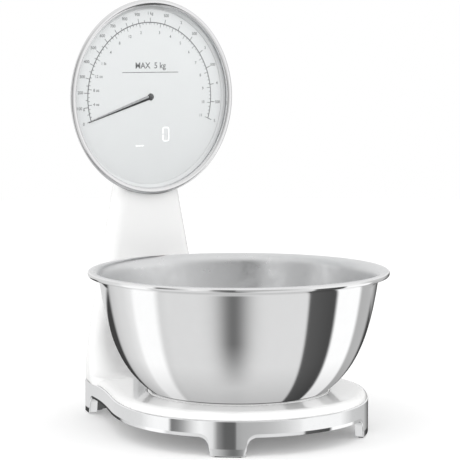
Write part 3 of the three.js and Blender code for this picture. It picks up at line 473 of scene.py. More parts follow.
def patches_group():
    """Soft handling marks: two noises multiplied, then spread between two values."""
    tree, given, out = new_group(
        "Handling Patches",
        [("Vector", "NodeSocketVector", None), ("Scale", "NodeSocketFloat", 30.0),
         ("Low", "NodeSocketFloat", 0.0), ("High", "NodeSocketFloat", 1.0)],
        [("Value", "NodeSocketFloat")],
    )
    wide = node(tree, "ShaderNodeTexNoise", {
        "Vector": given.outputs["Vector"], "Scale": given.outputs["Scale"], "Detail": 3.0})
    fine_scale = maths(tree, "MULTIPLY", given.outputs["Scale"], 7.3)
    fine = node(tree, "ShaderNodeTexNoise", {
        "Vector": given.outputs["Vector"], "Scale": fine_scale, "Detail": 5.0, "Roughness": 0.65})
    product = maths(tree, "MULTIPLY", wide.outputs[0], fine.outputs[0])
    spread = node(tree, "ShaderNodeMapRange", {
        "Value": product, "From Min": 0.12, "From Max": 0.42,
        "To Min": given.outputs["Low"], "To Max": given.outputs["High"]})
    tree.links.new(spread.outputs["Result"], out.inputs["Value"])
    return tree


def grain_group():
    """Even surface grain: a fine noise over a coarse one, turned into a normal."""
    tree, given, out = new_group(
        "Surface Grain",
        [("Vector", "NodeSocketVector", None), ("Scale", "NodeSocketFloat", 900.0),
         ("Strength", "NodeSocketFloat", 0.1)],
        [("Normal", "NodeSocketVector")],
    )
    fine = node(tree, "ShaderNodeTexNoise", {
        "Vector": given.outputs["Vector"], "Scale": given.outputs["Scale"], "Detail": 4.0})
    slow_scale = maths(tree, "MULTIPLY", given.outputs["Scale"], 0.08)
    slow = node(tree, "ShaderNodeTexNoise", {
        "Vector": given.outputs["Vector"], "Scale": slow_scale, "Detail": 2.0})
    height = maths(tree, "ADD", fine.outputs[0], slow.outputs[0])
    bump = node(tree, "ShaderNodeBump", {
        "Strength": given.outputs["Strength"], "Distance": 0.00012, "Height": height})
    tree.links.new(bump.outputs["Normal"], out.inputs["Normal"])
    return tree


def turned_group():
    """Polishing lines that run round the Z axis: noise read by radius and height, not by angle."""
    tree, given, out = new_group(
        "Turned Lines",
        [("Vector", "NodeSocketVector", None), ("Scale", "NodeSocketFloat", 2500.0),
         ("Strength", "NodeSocketFloat", 0.1)],
        [("Value", "NodeSocketFloat"), ("Normal", "NodeSocketVector")],
    )
    split = node(tree, "ShaderNodeSeparateXYZ", {0: given.outputs["Vector"]})
    across = maths(tree, "SUBTRACT", split.outputs["Y"], AXIS_Y)
    square = maths(tree, "ADD", maths(tree, "POWER", split.outputs["X"], 2.0),
                   maths(tree, "POWER", across, 2.0))
    radius = maths(tree, "SQRT", square)
    turn = maths(tree, "MULTIPLY", maths(tree, "ARCTAN2", across, split.outputs["X"]), 0.0015)
    lines = node(tree, "ShaderNodeCombineXYZ", {0: radius, 1: split.outputs["Z"], 2: turn})
    noise = node(tree, "ShaderNodeTexNoise", {
        "Vector": lines.outputs[0], "Scale": given.outputs["Scale"], "Detail": 6.0})
    bump = node(tree, "ShaderNodeBump", {
        "Strength": given.outputs["Strength"], "Distance": 0.00008, "Height": noise.outputs[0]})
    tree.links.new(noise.outputs[0], out.inputs["Value"])
    tree.links.new(bump.outputs["Normal"], out.inputs["Normal"])
    return tree


GROUPS = {}


def shared(tree, name, inputs):
    """An instance of a shared node group, which is built the first time it is asked for."""
    makers = {"patches": patches_group, "grain": grain_group, "turned": turned_group}
    if name not in GROUPS:
        GROUPS[name] = makers[name]()
    made = node(tree, "ShaderNodeGroup", node_tree=GROUPS[name])
    for key, value in inputs.items():
        link(tree, value, made.inputs[key])
    return made


def surface(name, color, roughness, metallic=0.0, *, tint=0.04, grain=(900.0, 0.08), marks=35.0,
            coat=0.0, ior=1.5, spread=0.25, turned=None, second=None):
    """A worn-in finish: base colour and roughness vary in patches, and a grain sits in the normal.

    second gives (colour, roughness) where the mesh's "face" attribute is 1: the satin inside of the
    bowl, and a painted highlight on the needle's upper facet."""
    material = bpy.data.materials.new(name)
    material.use_nodes = True
    tree = material.node_tree
    shader = tree.nodes["Principled BSDF"]
    where = node(tree, "ShaderNodeTexCoord").outputs["Object"]
    patches = shared(tree, "patches", {"Vector": where, "Scale": marks, "Low": 0.0, "High": 1.0})
    mask = patches.outputs["Value"]
    dark = tuple(c * (1 - tint) for c in color)
    base = blended(tree, mask, (*dark, 1), (*color, 1))
    shine = mapped(tree, mask, 0.0, 1.0, roughness * (1 + spread), roughness * (1 - spread))
    if second:
        face = node(tree, "ShaderNodeAttribute", attribute_name="face").outputs["Fac"]
        base = blended(tree, face, base, (*second[0], 1))
        other = maths(tree, "MULTIPLY", maths(tree, "ADD", mask, 1.0), second[1] * 0.7)
        shine = node(tree, "ShaderNodeMix", {0: face, "A": shine, "B": other}).outputs[0]
    if turned:
        lines = shared(tree, "turned", {"Vector": where, "Scale": turned[0], "Strength": turned[1]})
        normal = lines.outputs["Normal"]
    else:
        scale, strength = grain
        lines = shared(tree, "grain", {"Vector": where, "Scale": scale, "Strength": strength})
        normal = lines.outputs[0]
    link(tree, base, shader.inputs["Base Color"])
    link(tree, shine, shader.inputs["Roughness"])
    link(tree, normal, shader.inputs["Normal"])
    shader.inputs["Metallic"].default_value = metallic
    shader.inputs["IOR"].default_value = ior
    shader.inputs["Coat Weight"].default_value = coat
    shader.inputs["Coat Roughness"].default_value = 0.04
    return material


def clear_glass(name):
    """Flat clear cover: it lets light straight through and mirrors more at a shallow angle."""
    made, tree, where = bare_material(name)
    smears = shared(tree, "patches", {"Vector": where, "Scale": 22.0, "Low": 0.0, "High": 0.02})
    normal = shared(tree, "grain", {"Vector": where, "Scale": 60.0, "Strength": 0.01}).outputs[0]
    edge = node(tree, "ShaderNodeFresnel", {"IOR": 1.35, "Normal": normal})
    through = node(tree, "ShaderNodeBsdfTransparent", {"Color": (0.985, 0.99, 0.99)})
    mirror = node(tree, "ShaderNodeBsdfGlossy", {
        "Roughness": smears.outputs["Value"], "Normal": normal})
    inside = node(tree, "ShaderNodeNewGeometry").outputs["Backfacing"]
    outside = maths(tree, "MULTIPLY", edge.outputs[0], maths(tree, "SUBTRACT", 1.0, inside))
    mix = node(tree, "ShaderNodeMixShader", {
        0: outside, 1: through.outputs[0], 2: mirror.outputs[0]})
    link(tree, mix.outputs[0], tree.nodes["Material Output"].inputs["Surface"])
    return made


def lit(name, color, strength):
    """A light segment behind a diffuser: brightest in the middle of its grain."""
    material = bpy.data.materials.new(name)
    material.use_nodes = True
    tree = material.node_tree
    shader = tree.nodes["Principled BSDF"]
    where = node(tree, "ShaderNodeTexCoord").outputs["Object"]
    glow = shared(tree, "patches", {
        "Vector": where, "Scale": 400.0, "Low": strength * 0.94, "High": strength * 1.04})
    link(tree, color, shader.inputs["Base Color"])
    link(tree, color, shader.inputs["Emission Color"])
    link(tree, glow.outputs["Value"], shader.inputs["Emission Strength"])
    shader.inputs["Roughness"].default_value = 0.6
    return material


def backdrop(name, grey, glow):
    """A matt sheet with a faint glow, clear when it is seen from its back."""
    made, tree, where = bare_material(name)
    wash = shared(tree, "patches", {
        "Vector": where, "Scale": 3.0, "Low": glow * 0.995, "High": glow})
    matt = node(tree, "ShaderNodeBsdfDiffuse", {"Color": (grey, grey, grey)})
    light = node(tree, "ShaderNodeEmission", {"Strength": wash.outputs["Value"]})
    total = node(tree, "ShaderNodeAddShader", {0: matt.outputs[0], 1: light.outputs[0]})
    below = node(tree, "ShaderNodeNewGeometry").outputs["Backfacing"]
    clear = node(tree, "ShaderNodeBsdfTransparent")
    sheet = node(tree, "ShaderNodeMixShader", {
        0: below, 1: total.outputs[0], 2: clear.outputs[0]})
    link(tree, sheet.outputs[0], tree.nodes["Material Output"].inputs["Surface"])
    return made


MATERIALS = {}


def material(name):
    """A finish by its name, built the first time it is asked for."""
    recipes = {
        "white": lambda: surface("Gloss White", (0.955, 0.955, 0.95), 0.16, tint=0.012,
                                 grain=(220.0, 0.012), marks=18.0, coat=0.55),
        "white_inner": lambda: surface("White Moulding Inside", (0.86, 0.86, 0.85), 0.45),
        "chrome": lambda: surface("Chrome Plate", (0.90, 0.905, 0.91), 0.045, 1.0, tint=0.03,
                                  grain=(120.0, 0.01), marks=26.0),
        "ring": lambda: surface("Ring Chrome", (0.82, 0.82, 0.825), 0.17, 1.0, tint=0.03,
                                grain=(120.0, 0.01), marks=26.0),
        "wall": lambda: surface("Satin Wall", (0.90, 0.90, 0.905), 0.34, 0.85, tint=0.03,
                                grain=(600.0, 0.03), marks=26.0),
        "bowl": lambda: surface("Polished Steel", (0.86, 0.862, 0.865), 0.06, 1.0, tint=0.02,
                                marks=16.0, turned=(1800.0, 0.02),
                                second=((0.74, 0.745, 0.75), 0.36)),
        "steel": lambda: surface("Pressed Steel", (0.62, 0.63, 0.64), 0.3, 1.0, grain=(700.0, 0.1)),
        "screws": lambda: surface("Zinc Screw", (0.66, 0.67, 0.68), 0.26, 1.0,
                                  grain=(1500.0, 0.12)),
        "alloy": lambda: surface("Milled Alloy", (0.66, 0.67, 0.69), 0.34, 1.0,
                                 grain=(1400.0, 0.16)),
        "underside": lambda: surface("Textured Underside", (0.62, 0.62, 0.62), 0.6,
                                     grain=(1600.0, 0.35)),
        "rubber": lambda: surface("Foot Rubber", (0.025, 0.025, 0.026), 0.8, grain=(1200.0, 0.3)),
        "board": lambda: surface("Circuit Board", (0.03, 0.17, 0.07), 0.42,
                                 tint=0.2, grain=(800.0, 0.15)),
        "works": lambda: surface("Black Moulding", (0.02, 0.02, 0.022), 0.5, grain=(1100.0, 0.2)),
        "battery": lambda: surface("Cell Sleeve", (0.05, 0.13, 0.30), 0.3, tint=0.1, coat=0.4),
        "contacts": lambda: surface("Contact Brass", (0.72, 0.55, 0.25), 0.3, 1.0,
                                    grain=(1300.0, 0.1)),
        "wire": lambda: surface("Wire Insulation", (0.35, 0.05, 0.04), 0.5, grain=(1500.0, 0.1)),
        "dial": lambda: surface("Dial Silver", (0.80, 0.803, 0.806), 0.42, tint=0.012,
                                grain=(2200.0, 0.06), marks=12.0),
        "ink": lambda: surface("Dial Ink", (0.22, 0.22, 0.225), 0.5, tint=0.15, grain=(3000.0, 0.1),
                               marks=220.0),
        # The needle's second colour is a painted highlight on the blade's upper facet.
        "needle": lambda: surface("Needle Metal", (0.055, 0.055, 0.06), 0.28, 0.6,
                                  grain=(1500.0, 0.05),
                                  second=((0.42, 0.425, 0.43), 0.3)),
        "hub": lambda: surface("Hub Metal", (0.16, 0.16, 0.165), 0.2, 1.0, grain=(1500.0, 0.05)),
        "glass": lambda: clear_glass("Clear Cover"),
        "lit": lambda: lit("Lit Segment", (1.0, 1.0, 1.0), 1.0),
        "floor": lambda: backdrop("Studio Floor", 0.97, 0.06),
    }
    if name not in MATERIALS:
        MATERIALS[name] = recipes[name]()
    return MATERIALS[name]


def dress(obj, finish, body="base", stands_for=()):
    """Gives a piece its finish, the body it rides and the nodes it stands for."""
    obj.data.materials.clear()
    obj.data.materials.append(material(finish))
    if stands_for:
        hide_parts(*stands_for)
    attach(obj, body)
    return obj


# ---- Pieces ----


def white_body(voxel):
    """Base top with a rounded edge and a round well, and the column that sweeps up from it.

    Both are lofts of horizontal sections; a voxel skin joins them and rounds the inner corners."""
    rings = []
    outline = plan(SHELL_INSET, 12)
    angle = np.arctan2(outline[:, 1], outline[:, 0])
    well = np.stack([np.cos(angle), np.sin(angle)], 1) * WELL_RADIUS

    def ring(inset, z):
        """The base's outline moved in, at a height."""
        flat = plan(inset, 12)
        return np.column_stack([flat, np.full(len(flat), z)])

    rings.append(ring(2.7, SKIRT_TOP - 1.2))
    rings.append(ring(2.7, SKIRT_TOP + 0.25))
    edge_z = SKIRT_TOP + 0.3
    rings.append(ring(SHELL_INSET, edge_z))
    for turn in np.radians(np.linspace(8, 90, 10)):
        share, up = 1 - math.cos(turn), math.sin(turn) ** 1.2
        rings.append(ring(SHELL_INSET + EDGE_ROUND * share, edge_z + up * (SHELL_TOP - edge_z)))
    rings.append(np.column_stack([well, np.full(len(well), SHELL_TOP)]))
    rings.append(np.column_stack([well, np.full(len(well), SKIRT_TOP - 1.2)]))
    base = loft(rings, closed=True)
    levels = np.concatenate([
        [SKIRT_TOP - 1.2], SHELL_TOP + FILLET * np.linspace(0.03, 1, 26) ** 2,
        np.linspace(SHELL_TOP + FILLET, COLUMN_TOP, 30)[1:],
    ])
    column = mesh_object("Column", *loft([column_section(z) for z in levels]))
    room = [(0, BEZEL_FRONT - 30), (BEZEL_RADIUS + 0.3, BEZEL_FRONT - 30),
            (BEZEL_RADIUS + 0.3, BEZEL_FRONT + BEZEL_CREST + 0.3)]
    dome = dome_line(0.3, 14)
    room = revolve([*room, *dome, (0, dome[-1][1])], 96, "y", DIAL_CENTRE)
    carved(column, room)
    body = mesh_object("White_Body", *base)
    step = body.modifiers.new("join", "BOOLEAN")
    step.operation = "UNION"
    step.solver = "EXACT"
    step.object = column
    skin = body.modifiers.new("skin", "REMESH")
    skin.mode = "VOXEL"
    skin.voxel_size = voxel * 0.001
    soften = body.modifiers.new("soften", "SMOOTH")
    soften.factor = 0.5
    soften.iterations = 5
    resolved(body)
    bpy.data.objects.remove(column)
    body.data.polygons.foreach_set("use_smooth", np.ones(len(body.data.polygons), bool))
    return dress(body, "white", stands_for=("body_shell",))


def rear_cover():
    """Cover plate let into the column's back, with a black strip round it as painted shadow in the
    groove: both follow the column's sides.
    """
    height = np.linspace(COVER_FOOT, COLUMN_TOP - 6, 40)
    half = column_half(height) - COVER_MARGIN

    def outline(out, y):
        """The cover's outline moved outwards, at a Y behind the column."""
        z = height.copy()
        z[0] -= out
        z[-1] += out
        right = np.column_stack([half + out, np.full(len(z), COLUMN_BACK + y), z])
        return np.concatenate([right, right[::-1] * (-1, 1, 1)])

    plate = [outline(*at) for at in ((0, -0.3), (0, 0.2), (-0.18, 0.42), (-0.5, 0.55))]
    cover = mesh_object("Rear_Cover", *loft(plate))
    dress(cover, "white", stands_for=("column_rear_cover",))
    # A black strip round the cover stands in for the shade in the groove: painted shadow.
    groove_shadow = [outline(*at) for at in ((0, -0.1), (0.45, -0.1), (0.45, 0.25), (0, 0.25))]
    dress(mesh_object("Cover_Groove_Shadow", *loft(groove_shadow, closed=True)), "works")


def chrome_skirt(fine):
    """Band round the base whose lower edge drops into four feet.

    Its lower edge height is read from the feet's outline at every point of the plan."""
    outer = plan(0, fine)
    deep = plan(LEG_DEPTH, fine)
    gap, height = leg_table()
    side = math.radians(LEG_AZIMUTH)
    x, y = np.abs(outer[:, 0]), outer[:, 1]
    front = np.abs(x * math.cos(side) + y * math.sin(side)) - LEG_HALF
    front[x * math.sin(side) - y * math.cos(side) < 60] = 99
    rear = np.maximum(REAR_HALF - 20 - x, SKIRT_BACK - 18 - y)
    low = np.interp(np.minimum(front, rear), gap, height)
    leg = np.clip((LEG_CLEAR - low) / 1.2, 0, 1)
    leg = leg * leg * (3 - 2 * leg)
    thick = SKIRT_WALL + (LEG_DEPTH - SKIRT_WALL) * leg

    def ring(inset, z):
        """The skirt's outline moved in; the inset and the height may differ from point to point."""
        share = inset / LEG_DEPTH * np.ones((len(outer), 1))
        flat = outer * (1 - share) + deep * share
        return np.column_stack([flat, z * np.ones(len(outer))])

    thick = thick[:, None]
    ledge = np.maximum(low + 0.6, LEG_CLEAR)
    rings = [ring(0.6, SKIRT_TOP), ring(0.18, SKIRT_TOP - 0.16), ring(0, SKIRT_TOP - 0.6)]
    for share in (0.2, 0.4, 0.6, 0.8):
        rings.append(ring(0, (SKIRT_TOP - 0.6) * (1 - share) + (low + 0.6) * share))
    rings += [
        ring(0, low + 0.6), ring(0.18, low + 0.16), ring(0.6, low),
        ring(thick - 0.5, low), ring(thick, low + 0.4), ring(thick, ledge),
        ring(SKIRT_WALL, ledge + 0.01), ring(SKIRT_WALL, SKIRT_TOP - 0.3),
        ring(SKIRT_WALL - 0.3, SKIRT_TOP),
    ]
    skirt = mesh_object("Chrome_Skirt", *loft(rings, closed=True), angle=60)
    return dress(skirt, "chrome", stands_for=("base_skirt",))


def foot_pads():
    """Four rubber blocks with rounded edges, let into the feet."""
    for name in ("front_left", "front_right", "rear_left", "rear_right"):
        node_name = f"foot_pad_{name}"
        low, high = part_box(node_name)
        turn = 0.0
        if name.startswith("front"):
            turn = math.radians(LEG_AZIMUTH) * (1 if name.endswith("right") else -1)
        length = 22.0 if turn else 13.0
        middle = ((low + high) / 2) * 1000
        points, faces = brick((-length / 2, -2.2, 0), (length / 2, 2.2, 2))
        c, s = math.cos(turn), math.sin(turn)
        spun = points.copy()
        spun[:, 0] = points[:, 0] * c - points[:, 1] * s + middle.x
        spun[:, 1] = points[:, 0] * s + points[:, 1] * c + middle.y - AXIS_Y * 1000
        pad = bevelled(mesh_object(f"Foot_{name.title()}", spun, faces), 0.4)
        dress(pad, "rubber", stands_for=(node_name,))


def bowl_profile():
    """Outer wall up to the rolled rim and back down the inner wall, as radius and height."""
    wall_top = (RIM_RADIUS - LIP_WIDTH - RIM_BEAD, RIM_Z - 9)
    curve = [(FOOT_RADIUS, BOWL_Z), (FOOT_RADIUS + 27.3, BOWL_Z + 19.3),
             (wall_top[0] - 6.7, wall_top[1] - 45.2), wall_top]
    t = np.linspace(0, 1, 70)
    outer, way = bezier(curve, t)
    inner = outer + BOWL_WALL * np.stack([-way[:, 1], way[:, 0]], 1)
    bead = (RIM_RADIUS - RIM_BEAD, RIM_Z - RIM_BEAD)
    roll = arc(bead, RIM_BEAD, -112, 96, 28)
    under, _ = bezier([wall_top, (wall_top[0] + 0.7, wall_top[1] + 3.2),
                       (roll[0][0] - 3.4, roll[0][1] + 0.5), roll[0]], np.linspace(0, 1, 12)[1:-1])
    over, _ = bezier([roll[-1], (roll[-1][0] - 4.0, roll[-1][1] - 0.2),
                      (inner[-1][0] + 0.9, inner[-1][1] + 5.0), inner[-1]],
                     np.linspace(0, 1, 14)[1:-1])
    floor_z = BOWL_Z + BOWL_WALL
    keep = inner[inner[:, 1] > floor_z + 1.5][::-1]
    turn, _ = bezier([keep[-1], (keep[-1][0] - 2.2, floor_z + 0.25), (keep[-1][0] - 4, floor_z),
                      (keep[-1][0] - 7, floor_z)], np.linspace(0, 1, 9)[1:])
    foot = [(0, BOWL_Z + 0.35), (FOOT_RADIUS - 9, BOWL_Z + 0.35),
            (FOOT_RADIUS - 7.6, BOWL_Z + 0.05), (FOOT_RADIUS - 6.8, BOWL_Z)]
    split = len(foot) + len(outer) + len(under) + 22
    return [*foot, *outer, *under, *roll, *over, *keep, *turn, (0, floor_z)], split


def mixing_bowl(sides):
    """Steel bowl turned about its axis; its "face" attribute is 1 on the satin inside."""
    profile, split = bowl_profile()
    bowl = mesh_object("Mixing_Bowl", *revolve(profile, sides), angle=50)
    count = len(bowl.data.vertices)
    ring = np.clip((np.arange(count) - 1) // sides + 1, 0, len(profile) - 1)
    mark = bowl.data.attributes.new("face", "FLOAT", "POINT")
    mark.data.foreach_set("value", (ring > split).astype(np.float32))
    return dress(bowl, "bowl", "bowl", ("mixing_bowl",))


def weighing_plate():
    """Round plate under the bowl with a rounded edge and two shallow rings."""
    top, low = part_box("weighing_plate")[1].z * 1000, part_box("weighing_plate")[0].z * 1000
    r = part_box("weighing_plate")[1].x * 1000
    profile = [(0, top), (30, top), (30.3, top - 0.15), (31.2, top - 0.15), (31.5, top), (60, top),
               (60.3, top - 0.15), (61.2, top - 0.15), (61.5, top), (r - 0.7, top),
               (r - 0.2, top - 0.2), (r, top - 0.7), (r, low + 0.3), (r - 0.3, low), (0, low)]
    plate = mesh_object("Weighing_Plate", *revolve(profile, 160), angle=50)
    return dress(plate, "white", "platform", ("weighing_plate",))


def bezel():
    """Rounded metal ring: a turned crown with a fine step inside it and a sleeve behind."""
    half, middle = (BEZEL_RADIUS - BEZEL_INNER) / 2, (BEZEL_RADIUS + BEZEL_INNER) / 2
    crown = [(middle + half * math.cos(a), BEZEL_FRONT + BEZEL_CREST * (1 - math.sin(a)))
             for a in np.radians(np.linspace(168, 0, 26))]
    back = BEZEL_RADIUS - BEZEL_TAPER * (BEZEL_BACK - BEZEL_FRONT - BEZEL_CREST)
    profile = [(BEZEL_INNER, LENS_Y - 0.1), (BEZEL_INNER, LENS_Y - 0.6), *crown,
               (BEZEL_RADIUS - 0.1, BEZEL_FRONT + BEZEL_CREST + 0.3),
               (back + 0.25, BEZEL_BACK - 0.3), (back - 0.1, BEZEL_BACK), (SLEEVE, BEZEL_BACK),
               (SLEEVE, LENS_Y - 0.1)]
    turned = revolve(profile, 220, "y", DIAL_CENTRE, closed=True)
    ring = mesh_object("Bezel_Ring", *turned, angle=50)
    return dress(ring, "ring", stands_for=("bezel_ring",))


def dial_glass():
    """Flat clear disc with a small chamfer."""
    y0, y1 = LENS_Y, face_y("dial_lens", 1)
    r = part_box("dial_lens")[1].x * 1000
    profile = [(0, y0), (r - 0.3, y0), (r, y0 + 0.3), (r, y1), (0, y1)]
    lens = mesh_object("Dial_Glass", *revolve(profile, 160, "y", DIAL_CENTRE))
    return dress(lens, "glass", stands_for=("dial_lens",))


def dial_wall():
    """Polished ring between the glass and the dial, stepped where it meets the dial."""
    y0, y1 = face_y("dial_spacer_ring", 0), face_y("dial_spacer_ring", 1)
    inner = BEZEL_INNER + 0.2
    outside, foot = SLEEVE - 0.3, inner - 3.6
    profile = [(inner, y0), (outside, y0), (outside, y1), (foot, y1), (foot + 0.3, y1 - 0.35),
               (inner - 1.2, y0 + 1.1), (inner - 0.4, y0 + 0.7)]
    wall = mesh_object("Dial_Wall", *revolve(profile, 200, "y", DIAL_CENTRE, closed=True))
    return dress(wall, "wall", stands_for=("dial_spacer_ring",))


def dial_face():
    """Silver dial plate with a hole for the needle's shaft."""
    y0, y1 = DIAL_Y, face_y("dial_plate", 1)
    edge = DIAL_RADIUS
    profile = [(2.0, y0), (edge - 0.2, y0), (edge, y0 + 0.2), (edge, y1), (2.0, y1)]
    face = mesh_object("Dial_Face", *revolve(profile, 160, "y", DIAL_CENTRE, closed=True))
    return dress(face, "dial", stands_for=("dial_plate",))


def weight_angle(kilograms):
    """Angle to the left of the top: half the sweep for one kilogram, half for the other four."""
    return SWEEP * (1 - kilograms if kilograms <= 1 else (1 - kilograms) / 4)


def on_dial(radius, angle):
    """X and Z of a point on the dial, the angle counted to the left of the top."""
    a = math.radians(angle)
    return -radius * math.sin(a), DIAL_Z + radius * math.cos(a)


def printed(shapes, lift=0.04):
    """Flat outlines (x, z) as thin faces just in front of the dial."""
    points, faces = [], []
    for shape in shapes:
        base = len(points)
        points += [(x, DIAL_Y - lift, z) for x, z in shape]
        faces.append(list(range(base, base + len(shape))))
    return np.array(points), faces


def facing_front(points, faces):
    """Faces turned so that each looks towards -Y."""
    out = []
    for f in faces:
        a, b, c = points[f[0]], points[f[1]], points[f[2]]
        out.append(f if np.cross(b - a, c - a)[1] < 0 else f[::-1])
    return out


def tick(angle, inner, outer, width):
    """A radial mark as a narrow rectangle."""
    a = math.radians(angle)
    out = np.array([-math.sin(a), math.cos(a)])
    side = np.array([math.cos(a), math.sin(a)]) * width / 2
    centre = np.array([0, DIAL_Z])
    return [centre + out * inner - side, centre + out * outer - side,
            centre + out * outer + side, centre + out * inner + side]


def scale_marks():
    """Arc and ticks: grams and kilograms outside the arc, pounds and ounces inside it."""
    shapes = []
    steps = np.linspace(-SWEEP, SWEEP, 181)
    for a, b in zip(steps, steps[1:]):
        shapes.append([on_dial(ARC_RADIUS - 0.45, a), on_dial(ARC_RADIUS + 0.45, a),
                       on_dial(ARC_RADIUS + 0.45, b), on_dial(ARC_RADIUS - 0.45, b)])
    for i in range(21):
        reach = 4.3 if i % 2 == 0 else 2.2
        shapes.append(tick(weight_angle(i * 0.05), ARC_RADIUS, ARC_RADIUS + reach, 0.6))
    for i in range(3, 11):
        shapes.append(tick(weight_angle(i * 0.5), ARC_RADIUS, ARC_RADIUS + 4.3, 0.65))
    for counts, share in ((range(1, 36), 16), (range(9, 45), 4)):
        for count in counts:
            reach = 3.8 if count % 4 == 0 else 1.9
            angle = weight_angle(count * POUND / share)
            shapes.append(tick(angle, ARC_RADIUS - reach, ARC_RADIUS, 0.52))
    return printed(shapes)


def words(text, x, z, height, lift=0.05):
    """A label's letters as faces on the dial, centred on x and z."""
    curve = bpy.data.curves.new("label", "FONT")
    curve.body = text
    curve.size = height / 0.7
    curve.align_x, curve.align_y = "CENTER", "CENTER"
    curve.resolution_u = 3
    curve.offset = 0.02 * height
    holder = bpy.data.objects.new("label", curve)
    bpy.context.scene.collection.objects.link(holder)
    bpy.context.view_layer.update()
    graph = bpy.context.evaluated_depsgraph_get()
    mesh = bpy.data.meshes.new_from_object(holder.evaluated_get(graph))
    flat = np.zeros(len(mesh.vertices) * 3)
    mesh.vertices.foreach_get("co", flat)
    flat = flat.reshape(-1, 3)
    faces = [list(p.vertices) for p in mesh.polygons]
    points = np.column_stack([flat[:, 0] + x, np.full(len(flat), DIAL_Y - lift), flat[:, 1] + z])
    bpy.data.objects.remove(holder)
    bpy.data.curves.remove(curve)
    bpy.data.meshes.remove(mesh)
    return points, faces


def dial_labels():
    """Numbers for both scales, and the plain capacity line in the upper half."""
    parts = []
    outer = {0: "0", 0.1: "100 g", 1: "1 kg"}
    outer.update({i / 10: str(i * 100) for i in range(2, 10)})
    outer.update({i / 2: "500" if i % 2 else str(i // 2) for i in range(3, 11)})
    for kilograms, text in outer.items():
        x, z = on_dial(76.2, weight_angle(kilograms))
        parts.append(words(text, x, z, 2.7))
    inner = {0.25: "4 oz", 0.5: "8 oz", 0.75: "12 oz", 1: "1 lb", 1.25: "4", 1.5: "8", 1.75: "12"}
    inner.update({i: str(i) for i in range(2, 12)})
    for pounds, text in inner.items():
        x, z = on_dial(59.4, weight_angle(pounds * POUND))
        parts.append(words(text, x, z, 2.6))
    parts.append(words("0", *on_dial(59.4, SWEEP), 2.0))
    parts.append(words("MAX  5 kg", 0, DIAL_Z + 28.5, 5.4))
    rule = [(-31, DIAL_Z + 22.2), (31, DIAL_Z + 22.2), (31, DIAL_Z + 22.8), (-31, DIAL_Z + 22.8)]
    parts.append(printed([rule]))
    return together(*parts)


def dial_print():
    """Everything printed on the dial."""
    points, faces = together(scale_marks(), dial_labels())
    ink = mesh_object("Dial_Print", points, facing_front(points, faces))
    return dress(ink, "ink")


def readout():
    """Lit figure nought from six bars, and three short bars for the unit."""
    x, z, w, h, t = 16.8, DIAL_Z - 34.6, 6.9, 12.8, 0.62
    half = h / 2

    def bar(x0, z0, x1, z1):
        """A bar with pointed ends from one point to another."""
        along = np.array([x1 - x0, z1 - z0], float)
        length = np.linalg.norm(along)
        along /= length
        side = np.array([-along[1], along[0]]) * t / 2
        a, b = np.array([x0, z0]) + along * 0.5, np.array([x1, z1]) - along * 0.5
        tip = along * t / 2
        return [a, a + tip + side, b - tip + side, b, b - tip - side, a + tip - side]

    left, right = x - w / 2 + t / 2, x + w / 2 - t / 2
    bottom, top = z - half + t / 2, z + half - t / 2
    shapes = [
        bar(left, top, right, top), bar(left, bottom, right, bottom), bar(left, bottom, left, z),
        bar(left, z, left, top), bar(right, bottom, right, z), bar(right, z, right, top),
    ]
    foot, head = DIAL_Z - 44.8, DIAL_Z - 44.15
    for i in range(3):
        x0 = -16.6 + i * 3.1
        shapes.append([(x0, foot), (x0 + 2.0, foot), (x0 + 2.0, head), (x0, head)])
    points, faces = printed(shapes)
    lamp = mesh_object("Lit_Reading", points, facing_front(points, faces))
    return dress(lamp, "lit")


def needle():
    """Slim blade with a ridge: the upper facet is painted pale as a painted highlight, and the
    lower one keeps the needle's dark colour.
    """
    way = np.array([-math.sin(math.radians(SWEEP)), math.cos(math.radians(SWEEP))])
    up = np.array([way[1], -way[0]])
    if up[1] < 0:
        up = -up
    y_back = NEEDLE_Y + 0.4
    rings = []
    for along in np.linspace(0, NEEDLE_LENGTH, 30):
        half = 2.1 - 1.5 * along / NEEDLE_LENGTH
        centre = np.array([0, DIAL_Z]) + way * along
        ring = []
        for side, y in ((half, y_back), (half, y_back - 0.12), (half * 0.1, NEEDLE_Y - 0.25),
                        (-half * 0.1, NEEDLE_Y - 0.25), (-half, y_back - 0.12), (-half, y_back)):
            p = centre + up * side
            ring.append((p[0], y, p[1]))
        rings.append(np.array(ring))
    points, faces = loft(rings)
    blade = mesh_object("Needle_Blade", points, faces, angle=15)
    centres = np.array([np.mean([points[i] for i in f], axis=0) for f in faces])
    rise = (centres[:, [0, 2]] - (0, DIAL_Z)) @ up
    # Faces above the ridge take the pale second colour: a painted highlight on the upper facet.
    mark = blade.data.attributes.new("face", "FLOAT", "FACE")
    mark.data.foreach_set("value", (rise > 0.05).astype(np.float32)[: len(blade.data.polygons)])
    dress(blade, "needle", "needle", ("needle_hand",))
    front = face_y("needle_hub", 0)
    cap = [(0, front), (1.2, front + 0.05), (1.9, front + 0.3), (2.2, front + 0.8),
           (2.25, front + 1.4), (2.9, front + 1.5), (3.2, front + 1.8), (3.3, y_back), (0, y_back)]
    hub = mesh_object("Needle_Hub", *revolve(cap, 64, "y", DIAL_CENTRE), angle=40)
    return dress(hub, "hub", "needle", ("needle_hub",))


